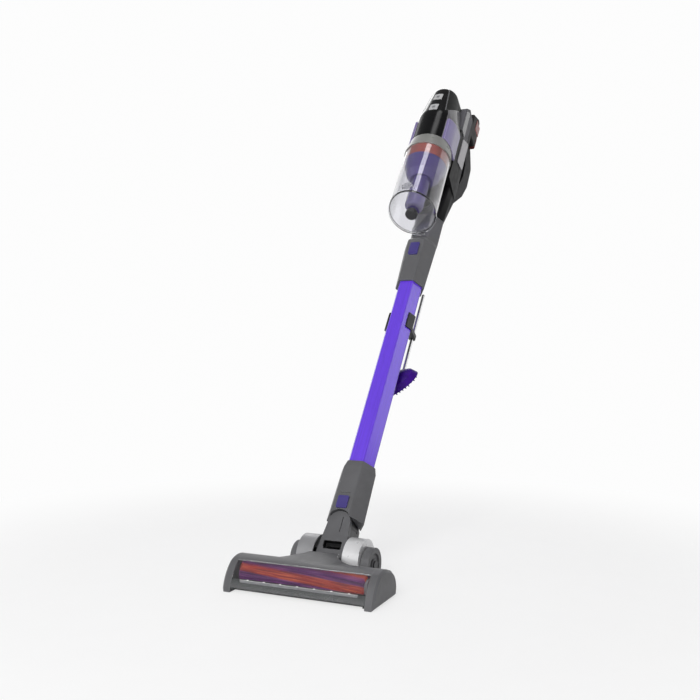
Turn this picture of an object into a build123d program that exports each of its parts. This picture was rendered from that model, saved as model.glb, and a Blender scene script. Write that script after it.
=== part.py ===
from build123d import *
from math import cos, radians, sin, tan
import os

os.makedirs("parts", exist_ok=True)

# Cordless stick vacuum. X is to the right, Y to the rear, Z up; the floor is Z = 0.
# The stick leans back from the pivot axle, and its pieces are placed by three lengths:
# across (X), back (square to the stick, to the rear) and up (along the stick from the axle).

# Stance
recline = 37.0
pivot_back = 76.0
pivot_height = 34.0

# Clearances
fit_gap = 0.3
slide_gap = 0.2
turn_gap = 0.06
swing_gap = 0.8

# Floor head: outline of its cross-section, measured back from its front edge
head_width = 260.0
cap_width = 15.0
cap_bevel = 4.0
head_front = -70.0
head_depth = 95.0
head_height = 51.0
cap_floor_gap = 1.0
front_swell = 8.0
front_swell_height = 25.0
brow_setback = 28.0
brow_height = 47.5
crown_setback = 48.0
shoulder_setback = 68.0
shoulder_height = 46.0
back_swell_setback = 88.0
back_swell_height = 34.0
heel_height = 14.0
heel_undercut = 3.0
shell_wall = 2.2
window_sill = 8.0
chassis_floor = 3.0
lip_height = 7.0
parting_height = 20.0
end_plate = 4.0

# Floor head: tongue of the cover that reaches back to the pivot
tongue_half = 26.2
tongue_waist = 36.0
flare_margin = 17.0
tongue_crest_half = 30.0
tongue_flare_height = 41.0
tongue_flare = 12.0
tongue_rear_height = 53.0

# Brush roll and its drive
brush_setback = 39.0
brush_height = 23.2
bristle_radius = 22.6
chamber_gap = 1.1
core_radius = 14.5
core_end_gap = 2.0
brush_shaft_radius = 4.0
brush_shaft_seat = 5.0
bearing_radius = 9.0
strip_width = 4.0
strip_depth = 2.6
strand_size = 1.0
strands_per_row = 100
rows_per_colour = 2
row_twist = 200.0
row_stations = 10
pulley_radius = 12.0
pinion_radius = 6.0
pulley_flange = 1.2
pulley_width = 6.0
belt_thickness = 1.5
drive_gap = 1.5
motor_setback = 76.0
motor_radius = 12.0
motor_length = 62.0
motor_shaft_radius = 2.5
motor_shaft_grip = 14.0
motor_edge = 1.5

# Floor head: light strip, glide strip and screws
led_count = 7
led_size = 3.0
led_margin = 9.5
led_strip_height = 4.0
led_strip_depth = 1.8
led_setback = 10.5
led_proud = 1.0
glide_margin = 15.0
glide_depth = 10.0
screw_head_radius = 3.0
screw_head_height = 2.0
screw_back = 17.0
screw_spread = 30.0
screw_end_margin = 30.0

# Pivot: axle, barrel covers and wheels
axle_radius = 5.0
axle_cap_radius = 8.0
axle_cap_width = 2.0
axle_start = 13.0
elbow_half = 26.4
elbow_reach = 24.0
arm_inner = 28.0
arm_width = 18.0
arm_radius = 14.0
barrel_radius = 36.0
barrel_wall = 2.6
barrel_inner = 27.0
barrel_outer = 56.0
barrel_floor = 14.0
barrel_end_wall = 4.0
wheel_radius = 28.5
wheel_inner = 57.0
wheel_width = 14.0
wheel_axle_radius = 5.0
tyre_thickness = 5.0
wheel_dish = 3.0
wheel_dish_inner = 10.0
wheel_rim = 4.0

# Elbow and swivel
swivel_up = 54.0
swivel_radius = 20.0
knuckle_half = 14.0
knuckle_radius = 19.4
knuckle_neck_half = 12.5
knuckle_duct = 8.0
knuckle_plug_radius = 13.0
knuckle_plug_start = 76.0
knuckle_plug_end = 100.0
swivel_pin_radius = 5.0
swivel_pin_start = 9.0
elbow_window_up = 11.5
elbow_window_width = 32.0
elbow_window_height = 14.0
elbow_window_depth = 9.0
elbow_groove_across = 6.0
elbow_groove_width = 1.2
elbow_groove_start = 36.0
elbow_groove_length = 28.0
elbow_wall = 5.0

# Connector
connector_start = 64.0
connector_shoulder = 158.0
connector_end = 171.0
connector_start_radius = 35.5
connector_shoulder_radius = 33.5
connector_end_radius = 29.5
corner_round = 5.0
socket_depth = 53.0

# Release buttons
button_width = 20.0
head_button_length = 23.0
wand_button_length = 32.0
button_depth = 8.5
button_proud = 1.4
button_travel = 2.5
button_round = 3.0
head_button_up = 88.0
wand_button_up = 668.0
slot_length = 8.0
slot_width = 2.4
slot_depth = 1.6
slot_pitch = 11.0
slot_rise = 18.0

# Wand
wand_radius = 26.5
wand_wall = 2.0
wand_round = 4.0
wand_visible_end = 586.0

# Accessory clip and pet tool
clip_up = 478.0
clip_height = 34.0
clip_wall = 3.2
clip_opening = -14.0
holder_across = 9.6
holder_back = 52.0
holder_radius = 7.0
holder_rise = 18.0
holder_height = 9.0
stem_radius = 3.4
stem_end = 610.0
pad_length = 84.0
pad_width = 52.0
pad_dome = 25.0
pad_dome_angles = (0.0, 30.0, 55.0, 75.0)
pad_up = 385.0
pad_lean = 32.4
pad_turn = 38.3
pad_roll = 31.5
pad_seat = 16.0
tooth_radius = 1.7
tooth_height = 4.5
tooth_pitch = 7.0
tooth_taper = 8.0
pad_margin = 3.0

# Nozzle neck of the handheld unit
neck_start_radius = 31.5
neck_swell_up = 690.0
neck_swell_radius = 35.2
neck_shoulder_up = 694.0
neck_waist_up = 706.0
neck_waist_radius = 33.0
neck_waist_back = 7.0
neck_end = 775.0
neck_duct = 18.0
neck_groove_up = 641.0
neck_groove_width = 1.5
neck_groove_depth = 0.8

# Dust bin, cyclone and door
bin_back = -82.0
bin_radius = 49.5
bin_top_radius = 49.0
bin_wall = 2.0
bin_floor_up = 722.0
bin_tilt = 11.5
bin_top = 876.0
collar_height = 30.0
collar_proud = 2.0
collar_top_proud = 2.3
collar_bore = 42.0
filter_height = 26.0
filter_bore = 38.0
funnel_radius = 46.0
funnel_waist_radius = 35.0
funnel_waist_up = 821.0
funnel_tip_radius = 24.5
funnel_tip_up = 808.0
vortex_radius = 19.5
vortex_end = 733.0
vortex_round = 7.0
cyclone_wall = 2.0
plug_radius = 12.5
plug_height = 10.0
plug_round = 3.0
inlet_up = 797.0
inlet_radius = 12.0
inlet_wall = 2.5
door_thickness = 4.5
door_lip = 1.2
hinge_back = -28.5
hinge_radius = 3.2
hinge_pin_radius = 1.5
hinge_half = 6.0
hinge_lug = 7.0
hinge_lug_rise = 14.0
latch_width = 13.0
latch_length = 16.0
latch_thickness = 2.6
latch_stand_off = 2.8
latch_pin_radius = 1.5
latch_lug_width = 4.0
latch_up = 741.0
latch_lug_radius = 3.0

# Nose of the handheld unit
nose_radius = 44.2
nose_knee_up = 986.0
nose_knee_round = 80.0
nose_crest_radius = 28.4
nose_crest_round = 22.0
nose_end = 1088.5
nose_wall = 3.0
nose_rear = -50.0
nose_rear_top = 1084.0
seam_foot_back = -112.0
seam_corner_back = -117.0
seam_corner_up = 993.0
seam_crest_back = -106.0
seam_rear_up = 1065.0
trim_width = 1.3
key_size = 19.0
key_length = 22.0
key_depth = 5.0
key_proud = 0.6
key_round = 1.5
power_key_up = 1041.0
boost_key_up = 999.0

# Body shells with the handle loop
body_start = 855.0
body_end = 1112.0
body_front_top = 1076.0
body_crown_back = -15.0
body_rear_half = 38.0
body_rear = 26.0
body_wall = 3.0
body_round = 8.0
body_top_round = 14.0
spine_front = -22.0
handle_half = 21.0
handle_round = 16.0
grip_bottom_up = 943.0
grip_bottom_back = 94.0
grip_crest_up = 990.0
grip_crest_back = 109.0
grip_top_up = 1046.0
grip_top_back = 107.0
dock_up = 1082.0
dock_back = 74.0
heel_up = 835.0
heel_back = 27.0
gap_front = 30.0
gap_bottom_up = 905.0
gap_top_up = 1050.0
gap_low_back = 62.0
gap_low_up = 951.0
gap_mid_back = 72.0
gap_mid_up = 987.0
gap_high_back = 68.0
gap_high_up = 1022.0
gap_crown_back = 50.0

# Side trims and side panels
trim_radius = 48.5
diamond_front_back = -111.0
diamond_rear_back = -56.0
diamond_front_top = 970.0
diamond_rear_top = 973.0
diamond_front_bottom = 907.0
diamond_rear_bottom = 897.0
panel_thickness = 1.6
side_panel_front = -48.0
side_panel_rear = -25.0
side_panel_bottom = 1006.0
side_panel_front_top = 1069.0
side_panel_rear_top = 1089.0
rear_panel_front = -27.0
rear_panel_rear = 14.0
rear_panel_front_bottom = 927.0
rear_panel_front_top = 999.0
rear_panel_rear_bottom = 942.0
rear_panel_rear_top = 1028.0
panel_round = 4.0

# Battery
battery_half = 32.0
battery_top = 1170.0
battery_front_top = 1150.0
battery_top_back = 58.0
battery_foot_back = 74.0
battery_bulge_back = 75.0
battery_bulge_up = 1108.0
battery_crest_back = 68.0
battery_crest_up = 1165.0
battery_round = 5.0
battery_edge = 4.0
tongue_width = 28.0
tongue_front = 34.0
tongue_rear = 52.0
tongue_length = 30.0
latch_half = 32.5
latch_low = 1122.0
latch_high = 1156.0
latch_inset = 46.0
latch_travel = 2.0
latch_depth = 24.5

# Suction motor and fan
suction_motor_radius = 27.0
suction_motor_start = 932.0
suction_motor_length = 66.0
flange_thickness = 4.0
flange_vents = 8
flange_vent_radius = 3.5
flange_vent_ring = 34.0
fan_radius = 27.0
fan_start = 912.0
fan_plate = 2.0
fan_blade_height = 9.0
fan_blade_width = 1.6
fan_blades = 9
fan_blade_share = 0.9
fan_hub_radius = 8.0
fan_shaft_radius = 3.0
fan_shaft_grip = 16.0

# Places worked out from the sizes above
body_half = head_width / 2 - cap_width
tongue_flare_half = body_half - flare_margin
led_pitch = 2 * (body_half - end_plate - led_margin) / led_count
glide_width = 2 * (body_half - glide_margin)
screw_end_spread = body_half - screw_end_margin
brush_y = head_front + brush_setback
motor_y = head_front + motor_setback
chamber_radius = bristle_radius + chamber_gap
brush_half = body_half - end_plate - core_end_gap
wheel_outer = wheel_inner + wheel_width
belt_bay_depth = pulley_width + 2 * drive_gap
axle_end = wheel_outer + fit_gap + axle_cap_width
socket_end = connector_end - socket_depth
wand_start = socket_end + fit_gap
wand_end = wand_visible_end + socket_depth
nose_start = bin_top + collar_height
bin_foot_up = bin_floor_up - 2 * bin_radius * tan(radians(bin_tilt))
collar_radius = bin_top_radius + collar_proud
collar_top_radius = nose_radius + collar_top_proud
latch_pin_back = bin_back - bin_radius - latch_stand_off - latch_thickness / 2
hinge_up = bin_floor_up - (hinge_back - bin_back) * tan(radians(bin_tilt)) - door_thickness / 2
stick_up = Vector(0, sin(radians(recline)), cos(radians(recline)))
stick_back = Vector(0, cos(radians(recline)), -sin(radians(recline)))
pivot = Vector(0, pivot_back, pivot_height)


def section_plane(up, back=0.0):
    """Plane square to the stick: local X is across, local Y is back."""
    return Plane(origin=pivot + stick_up * up + stick_back * back, x_dir=(1, 0, 0), z_dir=stick_up)


def front_plane(back):
    """Plane that faces forward: local X is across, local Y is up the stick."""
    return Plane(origin=pivot + stick_back * back, x_dir=(1, 0, 0), z_dir=-stick_back)


def side_plane(across=0.0):
    """Plane that faces right: local X is back, local Y is up the stick."""
    return Plane(origin=pivot + Vector(across, 0, 0), x_dir=stick_back, z_dir=(1, 0, 0))


def save(piece, name):
    """Label a finished piece and write it."""
    piece.part.label = name
    export_step(piece.part, f"parts/{name}.step")


def head_profile(side, inset=0.0):
    """Cross-section of the floor head on the plane X = side, shrunk by inset."""
    foot = (head_front, cap_floor_gap)
    swell = (head_front + front_swell, front_swell_height)
    brow = (head_front + brow_setback, brow_height)
    crown = (head_front + crown_setback, head_height)
    shoulder = (head_front + shoulder_setback, shoulder_height)
    back_swell = (head_front + back_swell_setback, back_swell_height)
    heel = (head_front + head_depth, heel_height)
    with BuildSketch(Plane.YZ.offset(side)) as profile:
        with BuildLine():
            ThreePointArc(foot, swell, brow)
            ThreePointArc(brow, crown, shoulder)
            ThreePointArc(shoulder, back_swell, heel)
            Polyline(heel, (heel[0] - heel_undercut, cap_floor_gap), foot)
        make_face()
        if inset > 0:
            offset(amount=-inset, kind=Kind.INTERSECTION)
    return profile.sketch


def head_tongue(inset=0.0):
    """Rising tongue of the head cover, from the full width of the head to the pivot."""
    crown_y = head_front + crown_setback
    with BuildPart() as tongue:
        with BuildSketch(Plane.XY.offset(parting_height)):
            with BuildLine():
                Polyline((0, crown_y), (tongue_flare_half, crown_y), (tongue_flare_half, tongue_flare))
                TangentArc((tongue_half, tongue_waist), (tongue_flare_half, tongue_flare), tangent=(0, -1))
                Polyline((tongue_half, tongue_waist), (tongue_half, pivot_back), (0, pivot_back),
                         (0, crown_y))
            make_face()
            mirror(about=Plane.YZ)
            if inset > 0:
                offset(amount=-inset, kind=Kind.INTERSECTION)
        extrude(amount=head_height)
        with BuildSketch(Plane.YZ):
            with BuildLine():
                Polyline(
                    (crown_y - inset, parting_height - inset),
                    (crown_y - inset, head_height - inset),
                    (pivot_back, tongue_rear_height - inset),
                    (pivot_back, parting_height - inset),
                    close=True,
                )
            make_face()
        extrude(amount=tongue_flare_half, both=True, mode=Mode.INTERSECT)
        with BuildSketch(Plane.XZ.offset(-pivot_back)):
            Polygon((-tongue_flare_half, parting_height - inset), (tongue_flare_half, parting_height - inset),
                    (tongue_flare_half, tongue_flare_height - inset),
                    (tongue_crest_half, tongue_rear_height - inset),
                    (-tongue_crest_half, tongue_rear_height - inset),
                    (-tongue_flare_half, tongue_flare_height - inset), align=None)
        extrude(amount=2 * pivot_back, mode=Mode.INTERSECT)
    return tongue.part


def arm_profile(side, gap=0.0):
    """Side view of the arm that carries the pivot axle, grown by gap."""
    with BuildSketch(Plane.YZ.offset(side)) as profile:
        with Locations((pivot_back, pivot_height)):
            Circle(arm_radius + gap)
        with Locations((motor_y + motor_radius, (chassis_floor + parting_height) / 2)):
            Circle((parting_height - chassis_floor) / 2 + gap)
        make_hull()
    return profile.sketch


def hexagon(radius, rounding):
    """Six-sided section with rounded corners and a flat to the front."""
    outline = RegularPolygon(radius=radius, side_count=6)
    fillet(outline.vertices(), radius=rounding)


# Floor head: chassis with the suction mouth, the motor bay and the two pivot arms
with BuildPart() as head_chassis:
    extrude(head_profile(0, shell_wall + fit_gap), amount=body_half, both=True)
    with Locations((0, head_front + head_depth / 2, chassis_floor)):
        Box(head_width, head_depth, parting_height - chassis_floor,
            align=(Align.CENTER, Align.CENTER, Align.MIN), mode=Mode.INTERSECT)
    with BuildSketch(Plane.YZ.offset(-body_half + end_plate)):
        with Locations((brush_y, brush_height)):
            Circle(chamber_radius)
    extrude(amount=2 * (body_half - end_plate), mode=Mode.SUBTRACT)
    with Locations((0, brush_y, 0)):
        Box(2 * (body_half - end_plate), 2 * (chamber_radius - shell_wall), brush_height, mode=Mode.SUBTRACT)
    with Locations((0, head_front, 0)):
        Box(2 * (body_half - end_plate), 2 * front_swell + 2 * shell_wall, 2 * lip_height, mode=Mode.SUBTRACT)
    with Locations((0, motor_y, brush_height - motor_radius - fit_gap)):
        Box(2 * (body_half - end_plate), 2 * (motor_radius + fit_gap), parting_height,
            align=(Align.CENTER, Align.CENTER, Align.MIN), mode=Mode.SUBTRACT)
    for side in (-1, 1):
        extrude(arm_profile(side * arm_inner), amount=side * arm_width)
    with BuildSketch(Plane.YZ.offset(-body_half)):
        with Locations((motor_y, brush_height)):
            Circle(motor_radius + fit_gap)
    extrude(amount=end_plate + motor_length + fit_gap, mode=Mode.SUBTRACT)
    with BuildSketch(Plane.YZ.offset(-body_half)):
        with Locations((brush_y, brush_height)):
            Circle(bearing_radius)
        with Locations((pivot_back, pivot_height)):
            Circle(axle_radius)
    extrude(amount=2 * body_half, mode=Mode.SUBTRACT)
    with Locations((0, head_front, parting_height)):
        Box(led_pitch * led_count, 2 * led_setback, 2 * led_strip_height, mode=Mode.SUBTRACT)
    with Locations(*[(x, screw_back, chassis_floor) for x in
                     (-screw_end_spread, -screw_spread, screw_spread, screw_end_spread)]):
        Cylinder(screw_head_radius + fit_gap, 2 * screw_head_height, mode=Mode.SUBTRACT)
save(head_chassis, "head_chassis")

# Floor head: cover with its tongue, clear window over the brush
with BuildPart() as head_cover:
    extrude(head_profile(0), amount=body_half, both=True)
    add(head_tongue())
    extrude(head_profile(0, shell_wall), amount=body_half, both=True, mode=Mode.SUBTRACT)
    add(head_tongue(shell_wall), mode=Mode.SUBTRACT)
    with Locations((0, head_front + brow_setback, parting_height)):
        Box(head_width, pivot_back, head_height, align=(Align.CENTER, Align.MIN, Align.MIN),
            mode=Mode.INTERSECT)
    with BuildSketch(Plane.YZ.offset(-elbow_half)):
        with Locations((pivot_back, pivot_height)):
            Circle(elbow_reach + swing_gap)
            Rectangle(2 * (elbow_reach + swing_gap), head_height, align=(Align.CENTER, Align.MIN))
    extrude(amount=2 * elbow_half, mode=Mode.SUBTRACT)
    for side in (-1, 1):
        extrude(arm_profile(side * (arm_inner - fit_gap), fit_gap), amount=side * (arm_width + 2 * fit_gap),
                mode=Mode.SUBTRACT)
save(head_cover, "head_cover")

with BuildPart() as brush_window:
    extrude(head_profile(0), amount=body_half - fit_gap, both=True)
    extrude(head_profile(0, shell_wall), amount=body_half, both=True, mode=Mode.SUBTRACT)
    with Locations((0, head_front, window_sill)):
        Box(head_width, brow_setback - fit_gap, head_height, align=(Align.CENTER, Align.MIN, Align.MIN),
            mode=Mode.INTERSECT)
save(brush_window, "brush_window")

# Floor head: end caps; the left one houses the belt drive, the right one the free shaft end
for name, side in (("end_cap_left", -1), ("end_cap_right", 1)):
    bevel_start = side * (head_width / 2 - cap_bevel)
    with BuildPart() as end_cap:
        extrude(head_profile(side * body_half), amount=side * (cap_width - cap_bevel))
        loft([head_profile(bevel_start), head_profile(side * head_width / 2, cap_bevel)], ruled=True)
        if side < 0:
            with BuildSketch(Plane.YZ.offset(-body_half)):
                with Locations((brush_y, brush_height)):
                    Circle(pulley_radius + belt_thickness + drive_gap)
                with Locations((motor_y, brush_height)):
                    Circle(pinion_radius + belt_thickness + drive_gap)
                make_hull()
            extrude(amount=-belt_bay_depth, mode=Mode.SUBTRACT)
        else:
            with BuildSketch(Plane.YZ.offset(body_half)):
                with Locations((brush_y, brush_height)):
                    Circle(brush_shaft_radius + turn_gap)
            extrude(amount=brush_shaft_seat + fit_gap, mode=Mode.SUBTRACT)
    save(end_cap, name)

# Floor head: barrel covers over the pivot
for name, side in (("pivot_cover_left", -1), ("pivot_cover_right", 1)):
    with BuildPart() as pivot_cover:
        with BuildSketch(Plane.YZ.offset(side * barrel_inner)):
            with Locations((pivot_back, pivot_height)):
                Circle(barrel_radius)
        extrude(amount=side * (barrel_outer - barrel_inner))
        with BuildSketch(Plane.YZ.offset(side * barrel_inner)):
            with Locations((pivot_back, pivot_height)):
                Circle(barrel_radius - barrel_wall)
        extrude(amount=side * (barrel_outer - barrel_inner - barrel_end_wall), mode=Mode.SUBTRACT)
        with BuildSketch(Plane.YZ.offset(side * barrel_inner)):
            with Locations((pivot_back, wheel_radius)):
                Circle(wheel_axle_radius)
            with Locations((pivot_back, barrel_floor)):
                Rectangle(2 * barrel_radius, 2 * barrel_radius, align=(Align.CENTER, Align.MAX))
        extrude(amount=side * (barrel_outer - barrel_inner), mode=Mode.SUBTRACT)
        extrude(arm_profile(side * arm_inner, fit_gap), amount=side * arm_width, mode=Mode.SUBTRACT)
    save(pivot_cover, name)

# Floor head: pivot stubs, one on each side of the air path, and wheel stubs further out and lower
with BuildPart() as pivot_axle:
    for side in (-1, 1):
        with BuildSketch(Plane.YZ.offset(side * axle_start)):
            with Locations((pivot_back, pivot_height)):
                Circle(axle_radius)
        extrude(amount=side * (arm_inner + arm_width - axle_start))
        with BuildSketch(Plane.YZ.offset(side * (arm_inner + arm_width + fit_gap))):
            with Locations((pivot_back, wheel_radius)):
                Circle(wheel_axle_radius)
        extrude(amount=side * (axle_end - arm_inner - arm_width - fit_gap))
        with BuildSketch(Plane.YZ.offset(side * axle_end)):
            with Locations((pivot_back, wheel_radius)):
                Circle(axle_cap_radius)
        extrude(amount=-side * axle_cap_width)
save(pivot_axle, "pivot_axle")

# Floor head: light strip, glide strip and screws
with BuildPart() as led_strip:
    with Locations((0, head_front + led_setback, parting_height)):
        Box(led_pitch * led_count - 2 * fit_gap, led_strip_depth, led_strip_height,
            align=(Align.CENTER, Align.MAX, Align.MAX))
    with Locations((0, head_front + led_setback - led_strip_depth / 2, parting_height)):
        with GridLocations(led_pitch, 0, led_count, 1):
            Box(led_size, led_strip_depth, led_proud, align=(Align.CENTER, Align.CENTER, Align.MIN))
save(led_strip, "led_strip")

with BuildPart() as glide_strip:
    with BuildSketch(Plane.XY):
        SlotOverall(glide_width, glide_depth)
    extrude(amount=chassis_floor)
save(glide_strip, "glide_strip")

with BuildPart() as head_screws:
    for across in (-screw_end_spread, -screw_spread, screw_spread, screw_end_spread):
        with Locations((across, screw_back, chassis_floor)):
            Cylinder(screw_head_radius, screw_head_height, align=(Align.CENTER, Align.CENTER, Align.MIN))
save(head_screws, "head_screws")

# Brush drive: motor, pinion on its shaft, belt, pulley and bearings
with BuildPart() as brush_motor:
    with BuildSketch(Plane.YZ.offset(-body_half + end_plate)):
        with Locations((motor_y, brush_height)):
            Circle(motor_radius)
    extrude(amount=motor_length)
    with BuildSketch(Plane.YZ.offset(-body_half + end_plate)):
        with Locations((motor_y, brush_height)):
            Circle(motor_shaft_radius + turn_gap)
    extrude(amount=motor_shaft_grip + fit_gap, mode=Mode.SUBTRACT)
    chamfer(brush_motor.edges().filter_by(GeomType.CIRCLE).group_by(Axis.X)[-1], length=motor_edge)
save(brush_motor, "brush_motor")

with BuildPart() as motor_pinion:
    with BuildSketch(Plane.YZ.offset(-body_half + end_plate + motor_shaft_grip)):
        with Locations((motor_y, brush_height)):
            Circle(motor_shaft_radius)
    extrude(amount=-(motor_shaft_grip + end_plate + drive_gap + pulley_width))
    with BuildSketch(Plane.YZ.offset(-body_half - drive_gap)):
        with Locations((motor_y, brush_height)):
            Circle(pinion_radius)
    extrude(amount=-pulley_width)
save(motor_pinion, "motor_pinion")

with BuildPart() as drive_belt:
    with BuildSketch(Plane.YZ.offset(-body_half - drive_gap - pulley_flange)):
        with Locations((brush_y, brush_height)):
            Circle(pulley_radius + fit_gap + belt_thickness)
        with Locations((motor_y, brush_height)):
            Circle(pinion_radius + fit_gap + belt_thickness)
        make_hull()
    extrude(amount=-(pulley_width - 2 * pulley_flange))
    with BuildSketch(Plane.YZ.offset(-body_half - drive_gap - pulley_flange)):
        with Locations((brush_y, brush_height)):
            Circle(pulley_radius + fit_gap)
        with Locations((motor_y, brush_height)):
            Circle(pinion_radius + fit_gap)
        make_hull()
    extrude(amount=-(pulley_width - 2 * pulley_flange), mode=Mode.SUBTRACT)
save(drive_belt, "drive_belt")

with BuildPart() as brush_pulley:
    with BuildSketch(Plane.YZ.offset(-body_half - drive_gap)):
        with Locations((brush_y, brush_height)):
            Circle(pulley_radius)
            Circle(brush_shaft_radius, mode=Mode.SUBTRACT)
    extrude(amount=-pulley_width)
save(brush_pulley, "brush_pulley")

with BuildPart() as brush_bearings:
    for side in (-1, 1):
        with BuildSketch(Plane.YZ.offset(side * (body_half - end_plate))):
            with Locations((brush_y, brush_height)):
                Circle(bearing_radius)
                Circle(brush_shaft_radius + turn_gap, mode=Mode.SUBTRACT)
        extrude(amount=side * end_plate)
save(brush_bearings, "brush_bearings")

# Brush roll: hollow core on its shaft, and helical rows of bristles in two colours
with BuildPart() as brush_core:
    with BuildSketch(Plane.YZ.offset(-brush_half)):
        with Locations((brush_y, brush_height)):
            Circle(core_radius)
    extrude(amount=2 * brush_half)
    with BuildSketch(Plane.YZ.offset(-body_half - drive_gap - pulley_width)):
        with Locations((brush_y, brush_height)):
            Circle(brush_shaft_radius)
    extrude(amount=2 * body_half + drive_gap + pulley_width + brush_shaft_seat)
save(brush_core, "brush_core")


def row_plane(share, start_angle):
    """Plane across the brush roll at a share of its length, turned along the helix of a row."""
    angle = radians(start_angle + row_twist * share)
    return Plane(origin=(brush_half * (2 * share - 1), brush_y, brush_height),
                 x_dir=(0, cos(angle), sin(angle)), z_dir=(1, 0, 0))


for name, colour_angle in (("brush_bristles_red", 0.0), ("brush_bristles_purple", 90.0)):
    with BuildPart() as bristles:
        for row in range(rows_per_colour):
            start_angle = colour_angle + row * 360 / rows_per_colour
            for station in range(row_stations + 1):
                with BuildSketch(row_plane(station / row_stations, start_angle)):
                    with Locations((core_radius + fit_gap, 0)):
                        Rectangle(strip_depth, strip_width, align=(Align.MIN, Align.CENTER))
            loft(ruled=True)
        strand_planes = [row_plane((strand + 0.5) / strands_per_row,
                                   colour_angle + row * 360 / rows_per_colour)
                         for strand in range(strands_per_row) for row in range(rows_per_colour)]
        strand_root = core_radius + strip_depth / 2
        with Locations(*[Location(plane) for plane in strand_planes]):
            with Locations((strand_root, 0)):
                Box(bristle_radius - strand_root, strand_size, strand_size,
                    align=(Align.MIN, Align.CENTER, Align.CENTER))
    save(bristles, name)

# Wheels with their tyres
for name, side in (("left", -1), ("right", 1)):
    with BuildPart() as wheel:
        with BuildSketch(Plane.YZ.offset(side * wheel_inner)):
            with Locations((pivot_back, wheel_radius)):
                Circle(wheel_radius - tyre_thickness)
                Circle(wheel_axle_radius + turn_gap, mode=Mode.SUBTRACT)
        extrude(amount=side * wheel_width)
        with BuildSketch(Plane.YZ.offset(side * wheel_outer)):
            with Locations((pivot_back, wheel_radius)):
                Circle(wheel_radius - tyre_thickness - wheel_rim)
                Circle(wheel_dish_inner, mode=Mode.SUBTRACT)
        extrude(amount=-side * wheel_dish, mode=Mode.SUBTRACT)
    save(wheel, f"wheel_{name}")
    with BuildPart() as tyre:
        with BuildSketch(Plane.YZ.offset(side * wheel_inner)):
            with Locations((pivot_back, wheel_radius)):
                Circle(wheel_radius)
                Circle(wheel_radius - tyre_thickness, mode=Mode.SUBTRACT)
        extrude(amount=side * wheel_width)
    save(tyre, f"tyre_{name}")

# Elbow: barrel on the pivot axle with the front cheek of the swivel, and the rear cheek behind it,
# each with its own swivel pin
def elbow_outline(back):
    """Front view of the elbow: wide at the barrel, round at the swivel."""
    with BuildSketch(front_plane(back)) as outline:
        with Locations((0, swivel_up)):
            Circle(swivel_radius)
        with BuildLine():
            Polyline((-elbow_half, 0), (elbow_half, 0), (swivel_radius, swivel_up),
                     (-swivel_radius, swivel_up), close=True)
        make_face()
    return outline.sketch


knuckle_slot = knuckle_half + fit_gap

with BuildPart() as elbow_fork:
    with BuildSketch(Plane.YZ.offset(-elbow_half)):
        with Locations((pivot_back, pivot_height)):
            Circle(elbow_reach)
    extrude(amount=2 * elbow_half)
    extrude(elbow_outline(-knuckle_slot), amount=elbow_reach - knuckle_slot)
    with BuildSketch(Plane.YZ.offset(-elbow_half)):
        with Locations((pivot_back, pivot_height)):
            Circle(axle_radius + turn_gap)
    extrude(amount=2 * elbow_half, mode=Mode.SUBTRACT)
    with BuildSketch(Plane.YZ.offset(-axle_start + fit_gap)):
        with Locations((pivot_back, pivot_height)):
            Circle(elbow_reach - elbow_wall)
    extrude(amount=2 * (axle_start - fit_gap), mode=Mode.SUBTRACT)
    with BuildSketch(section_plane(0)):
        Circle(knuckle_duct)
    extrude(amount=swivel_up, mode=Mode.SUBTRACT)
    with BuildSketch(front_plane(-knuckle_slot)):
        with Locations((0, swivel_up)):
            Circle(swivel_pin_radius)
    extrude(amount=swivel_pin_start - knuckle_slot)
    with BuildSketch(front_plane(-elbow_reach)):
        with Locations((0, elbow_window_up)):
            RectangleRounded(elbow_window_width, elbow_window_height, elbow_groove_width)
        with Locations((elbow_groove_across, elbow_groove_start + elbow_groove_length / 2)):
            Rectangle(elbow_groove_width, elbow_groove_length)
    extrude(amount=-elbow_window_depth, mode=Mode.SUBTRACT)
save(elbow_fork, "elbow_fork")

with BuildPart() as elbow_back:
    extrude(elbow_outline(elbow_reach), amount=elbow_reach + knuckle_slot)
    with BuildSketch(front_plane(knuckle_slot)):
        with Locations((0, swivel_up)):
            Circle(swivel_radius + swing_gap)
            Rectangle(2 * elbow_half, swivel_radius + swing_gap, align=(Align.CENTER, Align.MIN))
    extrude(amount=2 * knuckle_slot, mode=Mode.SUBTRACT)
    with BuildSketch(Plane.YZ.offset(-elbow_half)):
        with Locations((pivot_back, pivot_height)):
            Circle(elbow_reach)
    extrude(amount=2 * elbow_half, mode=Mode.SUBTRACT)
    with BuildSketch(section_plane(0)):
        Circle(knuckle_duct)
    extrude(amount=swivel_up, mode=Mode.SUBTRACT)
    with BuildSketch(front_plane(knuckle_slot)):
        with Locations((0, swivel_up)):
            Circle(swivel_pin_radius)
    extrude(amount=knuckle_slot - swivel_pin_start)
save(elbow_back, "elbow_back")

# Connector: knuckle that turns in the elbow, shell with the wand socket, release button
with BuildPart() as swivel_knuckle:
    with BuildSketch(front_plane(knuckle_half)):
        with Locations((0, swivel_up)):
            Circle(knuckle_radius)
            Rectangle(2 * knuckle_neck_half, knuckle_plug_start - swivel_up, align=(Align.CENTER, Align.MIN))
    extrude(amount=2 * knuckle_half)
    with BuildSketch(section_plane(knuckle_plug_start)):
        Circle(knuckle_plug_radius)
    extrude(amount=knuckle_plug_end - knuckle_plug_start)
    with BuildSketch(section_plane(0)):
        Circle(knuckle_duct)
    extrude(amount=knuckle_plug_end, mode=Mode.SUBTRACT)
    with BuildSketch(front_plane(knuckle_half)):
        with Locations((0, swivel_up)):
            Circle(swivel_pin_radius + turn_gap)
    extrude(amount=2 * knuckle_half, mode=Mode.SUBTRACT)
save(swivel_knuckle, "swivel_knuckle")


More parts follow.
